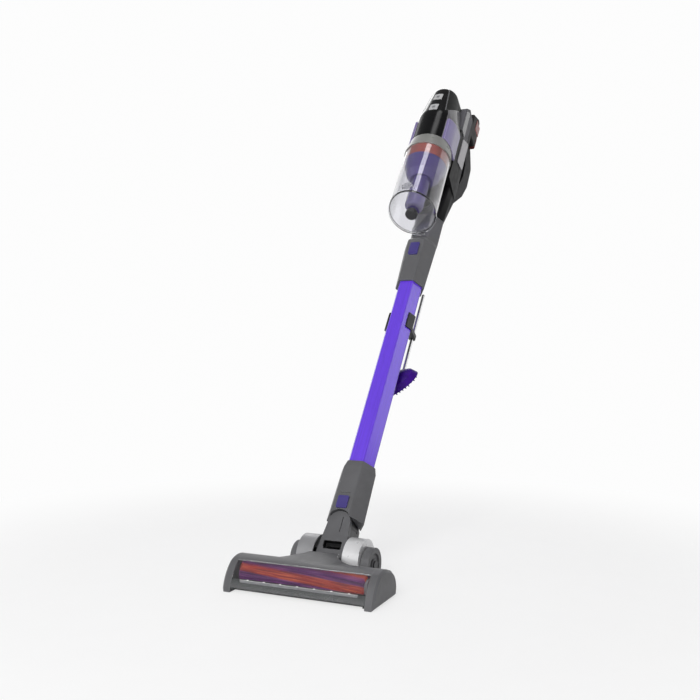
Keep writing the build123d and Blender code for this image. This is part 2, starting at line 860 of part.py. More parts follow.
def button_pocket(up, front, length, grow=0.0):
    """Rounded opening of a release button on the flat front of a shell."""
    with BuildSketch(front_plane(front)) as opening:
        with Locations((0, up)):
            RectangleRounded(button_width + 2 * grow, length + 2 * grow, button_round + grow)
    return opening.sketch


connector_front = -connector_start_radius * cos(radians(30))
neck_front = -neck_swell_radius * cos(radians(30))

with BuildPart() as connector_shell:
    for up, radius in ((connector_start, connector_start_radius),
                       (connector_shoulder, connector_shoulder_radius),
                       (connector_end, connector_end_radius)):
        with BuildSketch(section_plane(up)):
            hexagon(radius, corner_round)
    loft(ruled=True)
    with BuildSketch(front_plane(connector_start_radius)):
        with Locations((0, swivel_up)):
            Circle(swivel_radius + swing_gap)
    extrude(amount=2 * connector_start_radius, mode=Mode.SUBTRACT)
    with BuildSketch(front_plane(knuckle_half)):
        with Locations((0, connector_start)):
            Rectangle(2 * knuckle_neck_half, knuckle_plug_start - connector_start,
                      align=(Align.CENTER, Align.MIN))
    extrude(amount=2 * knuckle_half, mode=Mode.SUBTRACT)
    with BuildSketch(section_plane(knuckle_plug_start)):
        Circle(knuckle_plug_radius)
    extrude(amount=socket_end - knuckle_plug_start, mode=Mode.SUBTRACT)
    with BuildSketch(section_plane(socket_end)):
        hexagon(wand_radius + slide_gap, wand_round)
    extrude(amount=socket_depth, mode=Mode.SUBTRACT)
    extrude(button_pocket(head_button_up, connector_front, head_button_length, fit_gap),
            amount=-(button_depth + button_travel + fit_gap), mode=Mode.SUBTRACT)
    with BuildSketch(front_plane(connector_front)):
        with Locations((0, head_button_up + slot_rise)):
            with GridLocations(slot_pitch, 0, 2, 1):
                SlotOverall(slot_length, slot_width)
    extrude(amount=-slot_depth, mode=Mode.SUBTRACT)
save(connector_shell, "connector_shell")

with BuildPart() as head_release_button:
    extrude(button_pocket(head_button_up, connector_front, head_button_length), amount=button_proud)
    extrude(button_pocket(head_button_up, connector_front, head_button_length), amount=-button_depth)
save(head_release_button, "head_release_button")

# Wand
with BuildPart() as wand_tube:
    with BuildSketch(section_plane(wand_start)):
        hexagon(wand_radius, wand_round)
        offset(amount=-wand_wall, mode=Mode.SUBTRACT)
    extrude(amount=wand_end - wand_start)
save(wand_tube, "wand_tube")

# Clip on the wand, with a ring behind that holds the pet tool
with BuildPart() as accessory_clip:
    with BuildSketch(section_plane(clip_up)):
        hexagon(wand_radius + clip_wall, wand_round)
    extrude(amount=clip_height)
    with BuildSketch(section_plane(clip_up + holder_rise)):
        with Locations((holder_across, holder_back)):
            Circle(holder_radius)
            Rectangle(2 * holder_radius, holder_back - clip_wall, align=(Align.CENTER, Align.MAX))
    extrude(amount=holder_height)
    with BuildSketch(section_plane(clip_up)):
        RegularPolygon(radius=wand_radius, side_count=6)
        with Locations((0, clip_opening)):
            Rectangle(4 * wand_radius, 2 * wand_radius, align=(Align.CENTER, Align.MAX))
        with Locations((holder_across, holder_back)):
            Circle(stem_radius + turn_gap)
    extrude(amount=clip_height, mode=Mode.SUBTRACT)
save(accessory_clip, "accessory_clip")

# Pet tool: stem in the ring, and an oval pad with a domed back and rubber teeth
pad_face = stick_back * cos(radians(pad_lean)) - stick_up * sin(radians(pad_lean))
pad_across = Vector(1, 0, 0) * cos(radians(pad_turn)) - pad_face * sin(radians(pad_turn))
pad_normal = Vector(1, 0, 0) * sin(radians(pad_turn)) + pad_face * cos(radians(pad_turn))
pad_centre = section_plane(pad_up, holder_back).origin + Vector(holder_across, 0, 0)
pad_plane = Plane(origin=pad_centre, x_dir=pad_across, z_dir=pad_normal).rotated((0, 0, pad_roll))
tooth_columns = int((pad_length / 2 - pad_margin) / tooth_pitch)
tooth_rows = int((pad_width / 2 - pad_margin) / tooth_pitch)
tooth_places = [(column * tooth_pitch, row * tooth_pitch)
                for row in range(-tooth_rows, tooth_rows + 1)
                for column in range(-tooth_columns, tooth_columns + 1)
                if (column * tooth_pitch / (pad_length / 2 - pad_margin)) ** 2
                + (row * tooth_pitch / (pad_width / 2 - pad_margin)) ** 2 <= 1]

with BuildPart() as pet_brush_pad:
    for angle in pad_dome_angles:
        with BuildSketch(pad_plane.offset(-pad_dome * sin(radians(angle)))):
            Ellipse(pad_length / 2 * cos(radians(angle)), pad_width / 2 * cos(radians(angle)))
    loft(ruled=True)
    with BuildSketch(pad_plane):
        with Locations(*tooth_places):
            RegularPolygon(radius=tooth_radius, side_count=6)
    extrude(amount=tooth_height, taper=tooth_taper)
save(pet_brush_pad, "pet_brush_pad")

with BuildPart() as pet_brush_handle:
    with BuildSketch(section_plane(pad_up + pad_seat, holder_back)):
        with Locations((holder_across, 0)):
            Circle(stem_radius)
    extrude(amount=stem_end - pad_up - pad_seat)
    add(pet_brush_pad.part, mode=Mode.SUBTRACT)
save(pet_brush_handle, "pet_brush_handle")

# Handheld unit: nozzle neck with the wand socket, and its release button
with BuildPart() as nozzle_neck:
    for up, radius, back in ((wand_visible_end, neck_start_radius, 0),
                             (neck_swell_up, neck_swell_radius, 0),
                             (neck_shoulder_up, neck_swell_radius, 0),
                             (neck_waist_up, neck_waist_radius, neck_waist_back),
                             (neck_end, neck_waist_radius, neck_waist_back)):
        with BuildSketch(section_plane(up, back)):
            hexagon(radius, corner_round)
    loft(ruled=True)
    with BuildSketch(section_plane(wand_visible_end)):
        hexagon(wand_radius + slide_gap, wand_round)
    extrude(amount=socket_depth + fit_gap, mode=Mode.SUBTRACT)
    with BuildSketch(section_plane(wand_visible_end)):
        Circle(neck_duct)
    extrude(amount=neck_end - wand_visible_end, mode=Mode.SUBTRACT)
    extrude(button_pocket(wand_button_up, neck_front, wand_button_length, fit_gap),
            amount=-(button_depth + button_travel + fit_gap), mode=Mode.SUBTRACT)
    with BuildSketch(front_plane(neck_front - neck_groove_depth)):
        with Locations((0, neck_groove_up)):
            Rectangle(neck_start_radius, neck_groove_width)
    extrude(amount=-3 * neck_groove_depth, mode=Mode.SUBTRACT)
save(nozzle_neck, "nozzle_neck")

with BuildPart() as wand_release_button:
    extrude(button_pocket(wand_button_up, neck_front, wand_button_length), amount=button_proud)
    extrude(button_pocket(wand_button_up, neck_front, wand_button_length), amount=-button_depth)
save(wand_release_button, "wand_release_button")


def nose_half(inset):
    """Right half of the nose in front view: a straight flank, a lean inward and a rounded crest."""
    with BuildSketch(front_plane(bin_back)) as half:
        with BuildLine():
            Polyline((0, nose_start), (nose_radius - inset, nose_start), (nose_radius - inset, nose_knee_up),
                     (nose_crest_radius - inset, nose_end - inset), (0, nose_end - inset), close=True)
        make_face()
        fillet(vertices().group_by(Axis.Y)[1], radius=nose_knee_round - inset)
        fillet(vertices().group_by(Axis.Y)[-1].sort_by(Axis.X)[-1], radius=nose_crest_round - inset)
    return half.sketch


def nose_bulk(inset=0.0):
    """Round-fronted nose on the bin's axis, its top falling to the body behind, shrunk by inset."""
    fall = stick_back * (nose_end - nose_rear_top) + stick_up * (nose_rear - bin_back)
    fall_origin = section_plane(nose_end - inset, bin_back).origin
    with BuildPart() as bulk:
        extrude(nose_half(inset), amount=bin_back - nose_rear + inset)
        split(bisect_by=Plane(origin=fall_origin, x_dir=(1, 0, 0), z_dir=fall), keep=Keep.BOTTOM)
        mirror(about=Plane.YZ)
        revolve(nose_half(inset), axis=Axis(fall_origin, -stick_up), revolution_arc=180)
    return bulk.part


def bin_bulk(inset=0.0):
    """Outside of the dust bin, slightly narrower at its top, shrunk by inset."""
    with BuildPart() as bulk:
        with BuildSketch(section_plane(bin_foot_up, bin_back)):
            Circle(bin_radius - inset)
        with BuildSketch(section_plane(bin_top, bin_back)):
            Circle(bin_top_radius - inset)
        loft(ruled=True)
    return bulk.part


def collar_bulk(grow=0.0):
    """Outside of the bin's collar, tapered up to the nose, grown by a clearance."""
    with BuildPart() as bulk:
        with BuildSketch(section_plane(bin_top - grow, bin_back)):
            Circle(collar_radius + grow)
        with BuildSketch(section_plane(nose_start + grow, bin_back)):
            Circle(collar_top_radius + grow)
        loft(ruled=True)
    return bulk.part


# Handheld unit: body with the handle loop, split into a left and a right shell
def body_outline(inset=0.0):
    """Section of the body behind the nose, narrower to the rear."""
    Polygon((-nose_radius + inset, nose_rear + inset), (nose_radius - inset, nose_rear + inset),
            (body_rear_half - inset, body_rear - inset), (-body_rear_half + inset, body_rear - inset),
            align=None)


with BuildPart() as handle_loop:
    with BuildSketch(side_plane()):
        with BuildLine():
            Polyline((0, heel_up), (heel_back, heel_up), (grip_bottom_back, grip_bottom_up),
                     (grip_crest_back, grip_crest_up), (grip_top_back, grip_top_up), (dock_back, dock_up),
                     (0, dock_up), close=True)
        make_face()
        fillet(vertices().sort_by(Axis.X)[2:], radius=handle_round)
        with BuildLine():
            Polyline((gap_front, gap_bottom_up), (gap_low_back, gap_low_up), (gap_mid_back, gap_mid_up),
                     (gap_high_back, gap_high_up), (gap_crown_back, gap_top_up), (gap_front, gap_top_up),
                     close=True)
        make_face(mode=Mode.SUBTRACT)
    extrude(amount=handle_half, both=True)

with BuildPart() as body:
    with BuildSketch(section_plane(body_start)):
        body_outline()
    extrude(amount=body_end - body_start)
    upright_edges = body.edges().filter_by(Axis(pivot, stick_up))
    fillet(upright_edges.sort_by(Axis(pivot, stick_back))[-2:], radius=body_round)
    with BuildSketch(section_plane(neck_end, neck_waist_back)):
        hexagon(neck_waist_radius, corner_round)
    with BuildSketch(section_plane(body_start)):
        with Locations((0, (body_rear + spine_front) / 2)):
            RectangleRounded(2 * body_rear_half, body_rear - spine_front, corner_round)
    loft(ruled=True)
    top_edges = body.edges().filter_by(GeomType.LINE).group_by(Axis(pivot, stick_up))[-1]
    fillet(top_edges.filter_by(Axis.X, reverse=True), radius=body_top_round)
    with BuildSketch(side_plane()):
        Polygon((nose_rear, body_front_top), (body_crown_back, body_end), (nose_rear, body_end), align=None)
    extrude(amount=nose_radius, both=True, mode=Mode.SUBTRACT)
    add(handle_loop.part)
    with BuildSketch(front_plane(0)):
        with Locations((0, inlet_up)):
            Circle(inlet_radius + inlet_wall)
    extrude(amount=-bin_back)
    with BuildSketch(section_plane(neck_end)):
        Circle(neck_duct)
    extrude(amount=inlet_up - neck_end + inlet_radius, mode=Mode.SUBTRACT)
    with BuildSketch(front_plane(0)):
        with Locations((0, inlet_up)):
            Circle(inlet_radius)
    extrude(amount=-bin_back, mode=Mode.SUBTRACT)
    add(bin_bulk(-fit_gap), mode=Mode.SUBTRACT)
    add(collar_bulk(fit_gap), mode=Mode.SUBTRACT)
    with BuildSketch(section_plane(nose_start + body_wall)):
        body_outline(body_wall)
    extrude(amount=body_front_top - nose_start - 2 * body_wall, mode=Mode.SUBTRACT)
    with BuildSketch(section_plane(dock_up, (tongue_front + tongue_rear) / 2)):
        Rectangle(tongue_width + 2 * slide_gap, tongue_rear - tongue_front + 2 * slide_gap)
    extrude(amount=-tongue_length - fit_gap, mode=Mode.SUBTRACT)

for name, keep in (("body_shell_left", Keep.BOTTOM), ("body_shell_right", Keep.TOP)):
    with BuildPart() as body_shell:
        add(body.part)
        split(bisect_by=Plane.YZ, keep=keep)
    save(body_shell, name)

# Handheld unit: nose shell in four pieces, parted by seams that show from the side: gloss visor with two
# keys in front, bright trim beside it, dark cover behind the trim, grey flanks below
nose_top = nose_end + nose_wall
nose_front = bin_back - 2 * nose_radius
seam_rise = (seam_rear_up - seam_corner_up) / (nose_rear - seam_corner_back)
seam_foot_up = seam_corner_up + seam_rise * (seam_foot_back - seam_corner_back)
trim_corner_up = seam_corner_up + seam_rise * trim_width
seam_foot = (seam_foot_back, nose_start)
seam_bend = (seam_foot_back, seam_foot_up)
seam_corner = (seam_corner_back, seam_corner_up)
seam_crest = (seam_crest_back, nose_top)
trim_corner = (seam_corner_back + trim_width, trim_corner_up)
trim_crest = (seam_crest_back + trim_width, nose_top)
seam_rear = (nose_rear, seam_rear_up)


def nose_piece(*corners):
    """The part of the nose shell inside an outline that is drawn from the side."""
    with BuildPart() as piece:
        add(nose_bulk())
        add(nose_bulk(nose_wall), mode=Mode.SUBTRACT)
        with BuildSketch(side_plane()):
            Polygon(*corners, align=None)
        extrude(amount=2 * nose_radius, both=True, mode=Mode.INTERSECT)
    return piece.part


with BuildPart() as nose_cover:
    add(nose_piece(trim_corner, seam_rear, (nose_rear, nose_top), trim_crest))
save(nose_cover, "nose_cover")

with BuildPart() as nose_flank:
    add(nose_piece(seam_foot, (nose_rear, nose_start), seam_rear, seam_bend))
save(nose_flank, "nose_flank")

with BuildPart() as nose_trim:
    add(nose_piece(seam_corner, trim_corner, trim_crest, seam_crest))
save(nose_trim, "nose_trim")


def key_outline(up, grow=0.0):
    """Rounded square of a key on the visor, drawn in front of it."""
    with BuildSketch(front_plane(bin_back - nose_radius - key_proud)) as outline:
        with Locations((0, up)):
            RectangleRounded(key_size + 2 * grow, key_length + 2 * grow, key_round + grow)
    return outline.sketch


with BuildPart() as nose_visor:
    add(nose_piece((nose_front, nose_start), seam_foot, seam_bend, seam_corner, seam_crest,
                   (nose_front, nose_top)))
    for up in (power_key_up, boost_key_up):
        extrude(key_outline(up, fit_gap), amount=nose_crest_radius - nose_radius - 2 * key_depth,
                mode=Mode.SUBTRACT)
save(nose_visor, "nose_visor")

for name, up in (("power_button", power_key_up), ("boost_button", boost_key_up)):
    with BuildPart() as key:
        extrude(key_outline(up), amount=-nose_radius)
        add(nose_bulk(-key_proud), mode=Mode.INTERSECT)
        add(nose_bulk(key_depth), mode=Mode.SUBTRACT)
    save(key, name)

# Dust bin with its door, cyclone, filter ring and collar
door_plane = Plane(origin=section_plane(bin_floor_up, bin_back).origin, x_dir=(1, 0, 0),
                   z_dir=stick_up * cos(radians(bin_tilt)) + stick_back * sin(radians(bin_tilt)))

with BuildPart() as dust_bin:
    add(bin_bulk())
    split(bisect_by=door_plane, keep=Keep.TOP)
    with BuildSketch(front_plane(bin_back)):
        with Locations((0, inlet_up)):
            Circle(inlet_radius)
    extrude(amount=-bin_radius, mode=Mode.SUBTRACT)
    for across in (-hinge_half - hinge_lug, hinge_half):
        with BuildSketch(side_plane(across)):
            with Locations((hinge_back, hinge_up)):
                Circle(hinge_radius)
            with Locations((hinge_back - hinge_radius, hinge_up + hinge_lug_rise)):
                Circle(hinge_radius)
            make_hull()
        extrude(amount=hinge_lug)
    with BuildSketch(side_plane(-hinge_half - hinge_lug)):
        with Locations((hinge_back, hinge_up)):
            Circle(hinge_pin_radius)
    extrude(amount=2 * (hinge_half + hinge_lug), mode=Mode.SUBTRACT)
    for across in (-latch_width / 2 - latch_lug_width - fit_gap, latch_width / 2 + fit_gap):
        with BuildSketch(side_plane(across)):
            with Locations((latch_pin_back, latch_up)):
                Circle(latch_lug_radius)
                Rectangle(latch_stand_off + latch_thickness + 2 * bin_wall, 2 * latch_lug_radius,
                          align=(Align.MIN, Align.CENTER))
        extrude(amount=latch_lug_width)
    add(bin_bulk(bin_wall), mode=Mode.SUBTRACT)
    with BuildSketch(side_plane(-latch_width)):
        with Locations((latch_pin_back, latch_up)):
            Circle(latch_pin_radius + turn_gap)
    extrude(amount=2 * latch_width, mode=Mode.SUBTRACT)
save(dust_bin, "dust_bin")

with BuildPart() as bin_door:
    with BuildSketch(section_plane(bin_foot_up - bin_radius, bin_back)):
        Circle(bin_radius + door_lip)
    extrude(amount=2 * bin_radius)
    split(bisect_by=door_plane.offset(-fit_gap), keep=Keep.BOTTOM)
    split(bisect_by=door_plane.offset(-door_thickness), keep=Keep.TOP)
    with BuildSketch(side_plane(-hinge_half + fit_gap)):
        with Locations((hinge_back, hinge_up)):
            Circle(hinge_radius)
            Rectangle(hinge_radius + door_lip, hinge_radius, align=(Align.MAX, Align.CENTER))
    extrude(amount=2 * (hinge_half - fit_gap))
    for across in (-hinge_half - hinge_lug - fit_gap, hinge_half - fit_gap):
        with BuildSketch(side_plane(across)):
            with Locations((hinge_back, hinge_up)):
                Circle(hinge_radius + fit_gap)
            with Locations((hinge_back - hinge_radius, hinge_up + hinge_lug_rise)):
                Circle(hinge_radius + fit_gap)
            make_hull()
        extrude(amount=hinge_lug + 2 * fit_gap, mode=Mode.SUBTRACT)
    with BuildSketch(side_plane(-hinge_half)):
        with Locations((hinge_back, hinge_up)):
            Circle(hinge_pin_radius + turn_gap)
    extrude(amount=2 * hinge_half, mode=Mode.SUBTRACT)
save(bin_door, "bin_door")

with BuildPart() as door_hinge_pin:
    with BuildSketch(side_plane(-hinge_half - hinge_lug)):
        with Locations((hinge_back, hinge_up)):
            Circle(hinge_pin_radius)
    extrude(amount=2 * (hinge_half + hinge_lug))
save(door_hinge_pin, "door_hinge_pin")

with BuildPart() as door_latch:
    with BuildSketch(side_plane(-latch_width / 2)):
        with Locations((latch_pin_back, latch_up)):
            Rectangle(latch_thickness, latch_length)
    extrude(amount=latch_width)
    with BuildSketch(side_plane(-latch_width / 2 - latch_lug_width)):
        with Locations((latch_pin_back, latch_up)):
            Circle(latch_pin_radius)
    extrude(amount=latch_width + 2 * latch_lug_width)
save(door_latch, "door_latch")

with BuildPart() as bin_collar:
    add(collar_bulk())
    with BuildSketch(section_plane(bin_top, bin_back)):
        Circle(collar_bore)
    extrude(amount=collar_height, mode=Mode.SUBTRACT)
save(bin_collar, "bin_collar")

with BuildPart() as filter_ring:
    with BuildSketch(section_plane(bin_top - filter_height, bin_back)):
        Circle(bin_top_radius - bin_wall - fit_gap)
        Circle(filter_bore, mode=Mode.SUBTRACT)
    extrude(amount=filter_height)
save(filter_ring, "filter_ring")


def cyclone_half(inset=0.0):
    """Half section of the cyclone: a funnel under the filter ring and a tube with a rounded end."""
    funnel_top = bin_top - filter_height
    with BuildSketch(side_plane()) as half:
        with BuildLine():
            Polyline((bin_back, funnel_top), (bin_back + funnel_radius - inset, funnel_top),
                     (bin_back + funnel_waist_radius - inset, funnel_waist_up),
                     (bin_back + funnel_tip_radius - inset, funnel_tip_up + inset),
                     (bin_back + vortex_radius - inset, funnel_tip_up + inset),
                     (bin_back + vortex_radius - inset, vortex_end + inset), (bin_back, vortex_end + inset),
                     close=True)
        make_face()
        fillet(vertices().group_by(Axis.Y)[0].sort_by(Axis.X)[-1], radius=vortex_round - inset)
    return half.sketch


with BuildPart() as cyclone_cone:
    cyclone_axis = Axis(section_plane(0, bin_back).origin, stick_up)
    revolve(cyclone_half(), axis=cyclone_axis)
    revolve(cyclone_half(cyclone_wall), axis=cyclone_axis, mode=Mode.SUBTRACT)
save(cyclone_cone, "cyclone_cone")

with BuildPart() as door_plug:
    with BuildSketch(door_plane.offset(-door_thickness)):
        Circle(plug_radius)
    extrude(amount=-plug_height)
    fillet(door_plug.edges().group_by(Axis(pivot, stick_up))[0], radius=plug_round)
save(door_plug, "door_plug")

# Side trims: a four-cornered plate that wraps the seam between the collar, the nose and the body
for name, side in (("side_trim_left", -1), ("side_trim_right", 1)):
    with BuildPart() as side_trim:
        with BuildSketch(side_plane()):
            Polygon((diamond_front_back, diamond_front_top), (diamond_front_back, diamond_front_bottom),
                    (diamond_rear_back, diamond_rear_bottom), (diamond_rear_back, diamond_rear_top),
                    align=None)
        extrude(amount=side * 2 * bin_radius)
        with BuildSketch(section_plane(bin_foot_up, bin_back)):
            Circle(trim_radius)
            Rectangle(2 * trim_radius, bin_radius, align=(Align.CENTER, Align.MIN))
        extrude(amount=body_end - bin_foot_up, mode=Mode.INTERSECT)
        with BuildSketch(section_plane(bin_foot_up, bin_back)):
            Rectangle(2 * nose_radius, bin_radius, align=(Align.CENTER, Align.MIN))
        extrude(amount=nose_start - bin_foot_up, mode=Mode.SUBTRACT)
        add(collar_bulk(fit_gap), mode=Mode.SUBTRACT)
        add(nose_bulk(), mode=Mode.SUBTRACT)
    save(side_trim, name)

# Side panels and rear panels on the flanks of the body
side_panel_corners = ((side_panel_front, side_panel_bottom), (side_panel_rear, side_panel_bottom),
                      (side_panel_rear, side_panel_rear_top), (side_panel_front, side_panel_front_top))
rear_panel_corners = ((rear_panel_front, rear_panel_front_bottom), (rear_panel_rear, rear_panel_rear_bottom),
                      (rear_panel_rear, rear_panel_rear_top), (rear_panel_front, rear_panel_front_top))
for piece, corners in (("side_panel", side_panel_corners), ("rear_panel", rear_panel_corners)):
    for hand, side in (("left", -1), ("right", 1)):
        flank_start = Vector(side * nose_radius, 0, 0) + stick_back * nose_rear
        flank_end = Vector(side * body_rear_half, 0, 0) + stick_back * body_rear
        flank_back = (flank_end - flank_start).normalized()
        flank = Plane(origin=pivot + flank_start, x_dir=flank_back, z_dir=side * flank_back.cross(stick_up))
        with BuildPart() as panel:
            with BuildSketch(flank):
                Polygon(*[(back - nose_rear, side * up) for back, up in corners], align=None)
                fillet(vertices(), radius=panel_round)
            extrude(amount=panel_thickness)
        save(panel, f"{piece}_{hand}")

# Battery with its plug-in tongue, and its latch
with BuildPart() as battery_pack:
    with BuildSketch(side_plane(-battery_half)):
        Polygon((body_rear + fit_gap, dock_up + fit_gap), (battery_foot_back, dock_up + fit_gap),
                (battery_bulge_back, battery_bulge_up), (battery_crest_back, battery_crest_up),
                (battery_top_back, battery_top), (body_rear + fit_gap, battery_front_top), align=None)
        fillet(vertices().group_by(Axis.Y)[-1], radius=battery_round)
    extrude(amount=2 * battery_half)
    fillet(battery_pack.faces().sort_by(Axis.X)[0].edges(), radius=battery_edge)
    fillet(battery_pack.faces().sort_by(Axis.X)[-1].edges(), radius=battery_edge)
    with BuildSketch(section_plane(dock_up + 2 * battery_edge, (tongue_front + tongue_rear) / 2)):
        Rectangle(tongue_width, tongue_rear - tongue_front)
    extrude(amount=-tongue_length - 2 * battery_edge)
    with BuildSketch(front_plane(latch_inset)):
        with Locations((0, (latch_low + latch_high) / 2)):
            Rectangle(2 * (latch_half + fit_gap), latch_high - latch_low + 2 * fit_gap)
    extrude(amount=-battery_crest_back, mode=Mode.SUBTRACT)
save(battery_pack, "battery_pack")

with BuildPart() as battery_latch:
    with BuildSketch(front_plane(latch_inset + latch_travel + fit_gap)):
        with Locations((0, (latch_low + latch_high) / 2)):
            RectangleRounded(2 * latch_half, latch_high - latch_low, button_round)
    extrude(amount=-latch_depth)
save(battery_latch, "battery_latch")

# Suction motor and fan
with BuildPart() as motor_flange:
    with BuildSketch(section_plane(suction_motor_start, bin_back)):
        Circle(nose_radius)
        with PolarLocations(flange_vent_ring, flange_vents):
            Circle(flange_vent_radius, mode=Mode.SUBTRACT)
    extrude(amount=flange_thickness)
    add(nose_bulk(nose_wall), mode=Mode.INTERSECT)

with BuildPart() as suction_motor:
    add(motor_flange.part)
    with BuildSketch(section_plane(suction_motor_start, bin_back)):
        Circle(suction_motor_radius)
    extrude(amount=suction_motor_length)
    with BuildSketch(section_plane(suction_motor_start, bin_back)):
        Circle(fan_shaft_radius + turn_gap)
    extrude(amount=fan_shaft_grip + fit_gap, mode=Mode.SUBTRACT)
save(suction_motor, "suction_motor")

with BuildPart() as fan_impeller:
    with BuildSketch(section_plane(fan_start, bin_back)):
        Circle(fan_radius)
    extrude(amount=fan_plate)
    with BuildSketch(section_plane(fan_start, bin_back)):
        Circle(fan_hub_radius)
        with PolarLocations(0, fan_blades):
            with Locations((fan_radius / 2, fan_hub_radius / 2)):
                Rectangle(fan_radius * fan_blade_share, fan_blade_width)
    extrude(amount=fan_plate + fan_blade_height)
    with BuildSketch(section_plane(fan_start, bin_back)):
        Circle(fan_shaft_radius)
    extrude(amount=suction_motor_start - fan_start + fan_shaft_grip)
save(fan_impeller, "fan_impeller")
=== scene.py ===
# %% [markdown]
# # Cordless stick vacuum
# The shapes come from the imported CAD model, which is loaded as a fixed frame. This lesson gives every piece
# of it a finish, builds the dense bristles of the brush roll, and sets up the studio and the camera.
# Lengths are metres in the frame of the CAD model: X to the right, Y to the rear, Z up.

# %% Load the frame
from math import cos, pi, radians, sin

import bpy
from mathutils import Matrix, Vector


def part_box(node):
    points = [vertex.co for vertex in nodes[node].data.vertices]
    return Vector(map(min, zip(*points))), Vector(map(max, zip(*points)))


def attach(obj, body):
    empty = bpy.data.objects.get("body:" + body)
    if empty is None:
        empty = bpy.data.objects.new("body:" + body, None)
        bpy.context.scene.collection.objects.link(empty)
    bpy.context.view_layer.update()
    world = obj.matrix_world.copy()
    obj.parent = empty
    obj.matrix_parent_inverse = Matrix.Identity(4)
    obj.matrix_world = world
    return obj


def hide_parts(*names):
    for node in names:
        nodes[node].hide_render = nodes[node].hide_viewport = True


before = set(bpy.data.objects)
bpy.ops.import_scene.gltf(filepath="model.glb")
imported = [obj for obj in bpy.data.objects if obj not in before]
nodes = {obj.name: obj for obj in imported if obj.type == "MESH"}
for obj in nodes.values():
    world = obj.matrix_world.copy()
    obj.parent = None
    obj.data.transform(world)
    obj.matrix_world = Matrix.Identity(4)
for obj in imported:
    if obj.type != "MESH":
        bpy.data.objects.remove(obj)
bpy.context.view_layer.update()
MM = 0.001

# %% [markdown]
# ## The leaning stick
# The stick leans back by 37 degrees about the neck's pivot. Die lines, prints and colour bands on it follow
# its own axes, so the finishes below turn their coordinates by the same angle: their Z then runs up the
# stick and their Y runs to its back.

# %% Stick axes
RECLINE = radians(37)
STICK_TURN = (-RECLINE, 0, 0)
STICK_FOOT = (0, 76 * MM, 34 * MM)


def middle(node):
    """Centre of a node's box."""
    low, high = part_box(node)
    return (Vector(low) + Vector(high)) / 2


print("stick axis:", [round(part, 3) for part in (0, sin(RECLINE), cos(RECLINE))])

# %% [markdown]
# ## Colours and nodes
# A designer notes a colour as an sRGB hex code, and a shader works with linear light, so one function turns
# the one into the other. One more function adds a shader node with its settings, values and links, and all
# the finishes are built with it.


# %% Colours and nodes
def linear(code, shade=1.0):
    """Linear colour of an sRGB hex code, made lighter or darker by a factor."""
    parts = [int(code[start:start + 2], 16) / 255 for start in (1, 3, 5)]
    light = [part / 12.92 if part <= 0.04045 else ((part + 0.055) / 1.055) ** 2.4 for part in parts]
    return [min(1.0, part * shade) for part in light] + [1.0]


def add_node(tree, kind, inputs=None, **settings):
    """A new node: settings are its own options, inputs are values or sockets to link."""
    node = tree.nodes.new(kind)
    for name, value in settings.items():
        setattr(node, name, value)
    for name, value in (inputs or {}).items():
        if isinstance(value, bpy.types.NodeSocket):
            tree.links.new(value, node.inputs[name])
        else:
            node.inputs[name].default_value = value
    return node


def start_finish(name, **sockets):
    """A material, its tree and its shader, with what is the same all over set on the shader itself."""
    material = bpy.data.materials.new(name)
    material.use_nodes = True
    shader = material.node_tree.nodes["Principled BSDF"]
    for socket, value in sockets.items():
        shader.inputs[socket.replace("_", " ")].default_value = value
    return material, material.node_tree, shader


print("white in linear light:", linear("#ffffff"))

# %% [markdown]
# ## Parts of a finish
# Every finish is put together from the same few parts: a place on the object in metres, a cloudy change of
# shade or gloss, a fine relief, and marks along the edges. A Bevel node rounds each sharp edge of the CAD
# mesh in the shading, as on a real moulding, and where its normal leaves the face's own normal there is an
# edge. A short ambient occlusion tells an outer edge from a groove. The outer edge is made brighter, partly
# as wear and partly as a painted highlight, and the groove is made darker as painted shade.

# %% Values of a finish
CLOUD_LOW, CLOUD_HIGH = 0.3, 0.7
GROOVE_REACH = 2.5 * MM
# Outer edges are made brighter, partly as wear and partly as a painted highlight; grooves are made darker as
# painted shade.
EDGE_WEAR_AND_HIGHLIGHT_SHARE = 0.5
GROOVE_SHADE_SHARE = 0.75
print("grooves narrower than:", GROOVE_REACH / MM, "mm")


# %% Parts of a finish
def object_place(tree, turn=(0, 0, 0), place=(0, 0, 0), stretch=(1, 1, 1)):
    """Object coordinates, seen from a place, turned, and then stretched."""
    position = add_node(tree, "ShaderNodeTexCoord").outputs["Object"]
    turned = add_node(tree, "ShaderNodeMapping", {"Vector": position, "Rotation": turn, "Location": place},
                      vector_type="TEXTURE").outputs["Vector"]
    return add_node(tree, "ShaderNodeMapping", {"Vector": turned, "Scale": stretch}).outputs["Vector"]


def cloudy_value(tree, vector, size_mm, low, high):
    """Clouds of a size, as a number between two limits."""
    clouds = add_node(tree, "ShaderNodeTexNoise",
                      {"Vector": vector, "Scale": 1 / (size_mm * MM), "Detail": 3})
    return add_node(tree, "ShaderNodeMapRange",
                    {"Value": clouds.outputs["Fac"], "From Min": CLOUD_LOW, "From Max": CLOUD_HIGH,
                     "To Min": low, "To Max": high}).outputs["Result"]


def cloudy_colour(tree, vector, size_mm, dark, light):
    """Clouds of a size, as a colour between two colours."""
    clouds = add_node(tree, "ShaderNodeTexNoise",
                      {"Vector": vector, "Scale": 1 / (size_mm * MM), "Detail": 3})
    shades = add_node(tree, "ShaderNodeValToRGB", {"Fac": clouds.outputs["Fac"]})
    for stop, position, colour in zip(shades.color_ramp.elements, (CLOUD_LOW, CLOUD_HIGH), (dark, light)):
        stop.position = position
        stop.color = colour
    return shades.outputs["Color"]


def fine_relief(tree, vector, size_mm, depth_mm, normal):
    """Relief of a size and depth on top of a normal."""
    clouds = add_node(tree, "ShaderNodeTexNoise",
                      {"Vector": vector, "Scale": 1 / (size_mm * MM), "Detail": 2})
    return add_node(tree, "ShaderNodeBump", {"Height": clouds.outputs["Fac"], "Distance": depth_mm * MM,
                                             "Normal": normal}).outputs["Normal"]


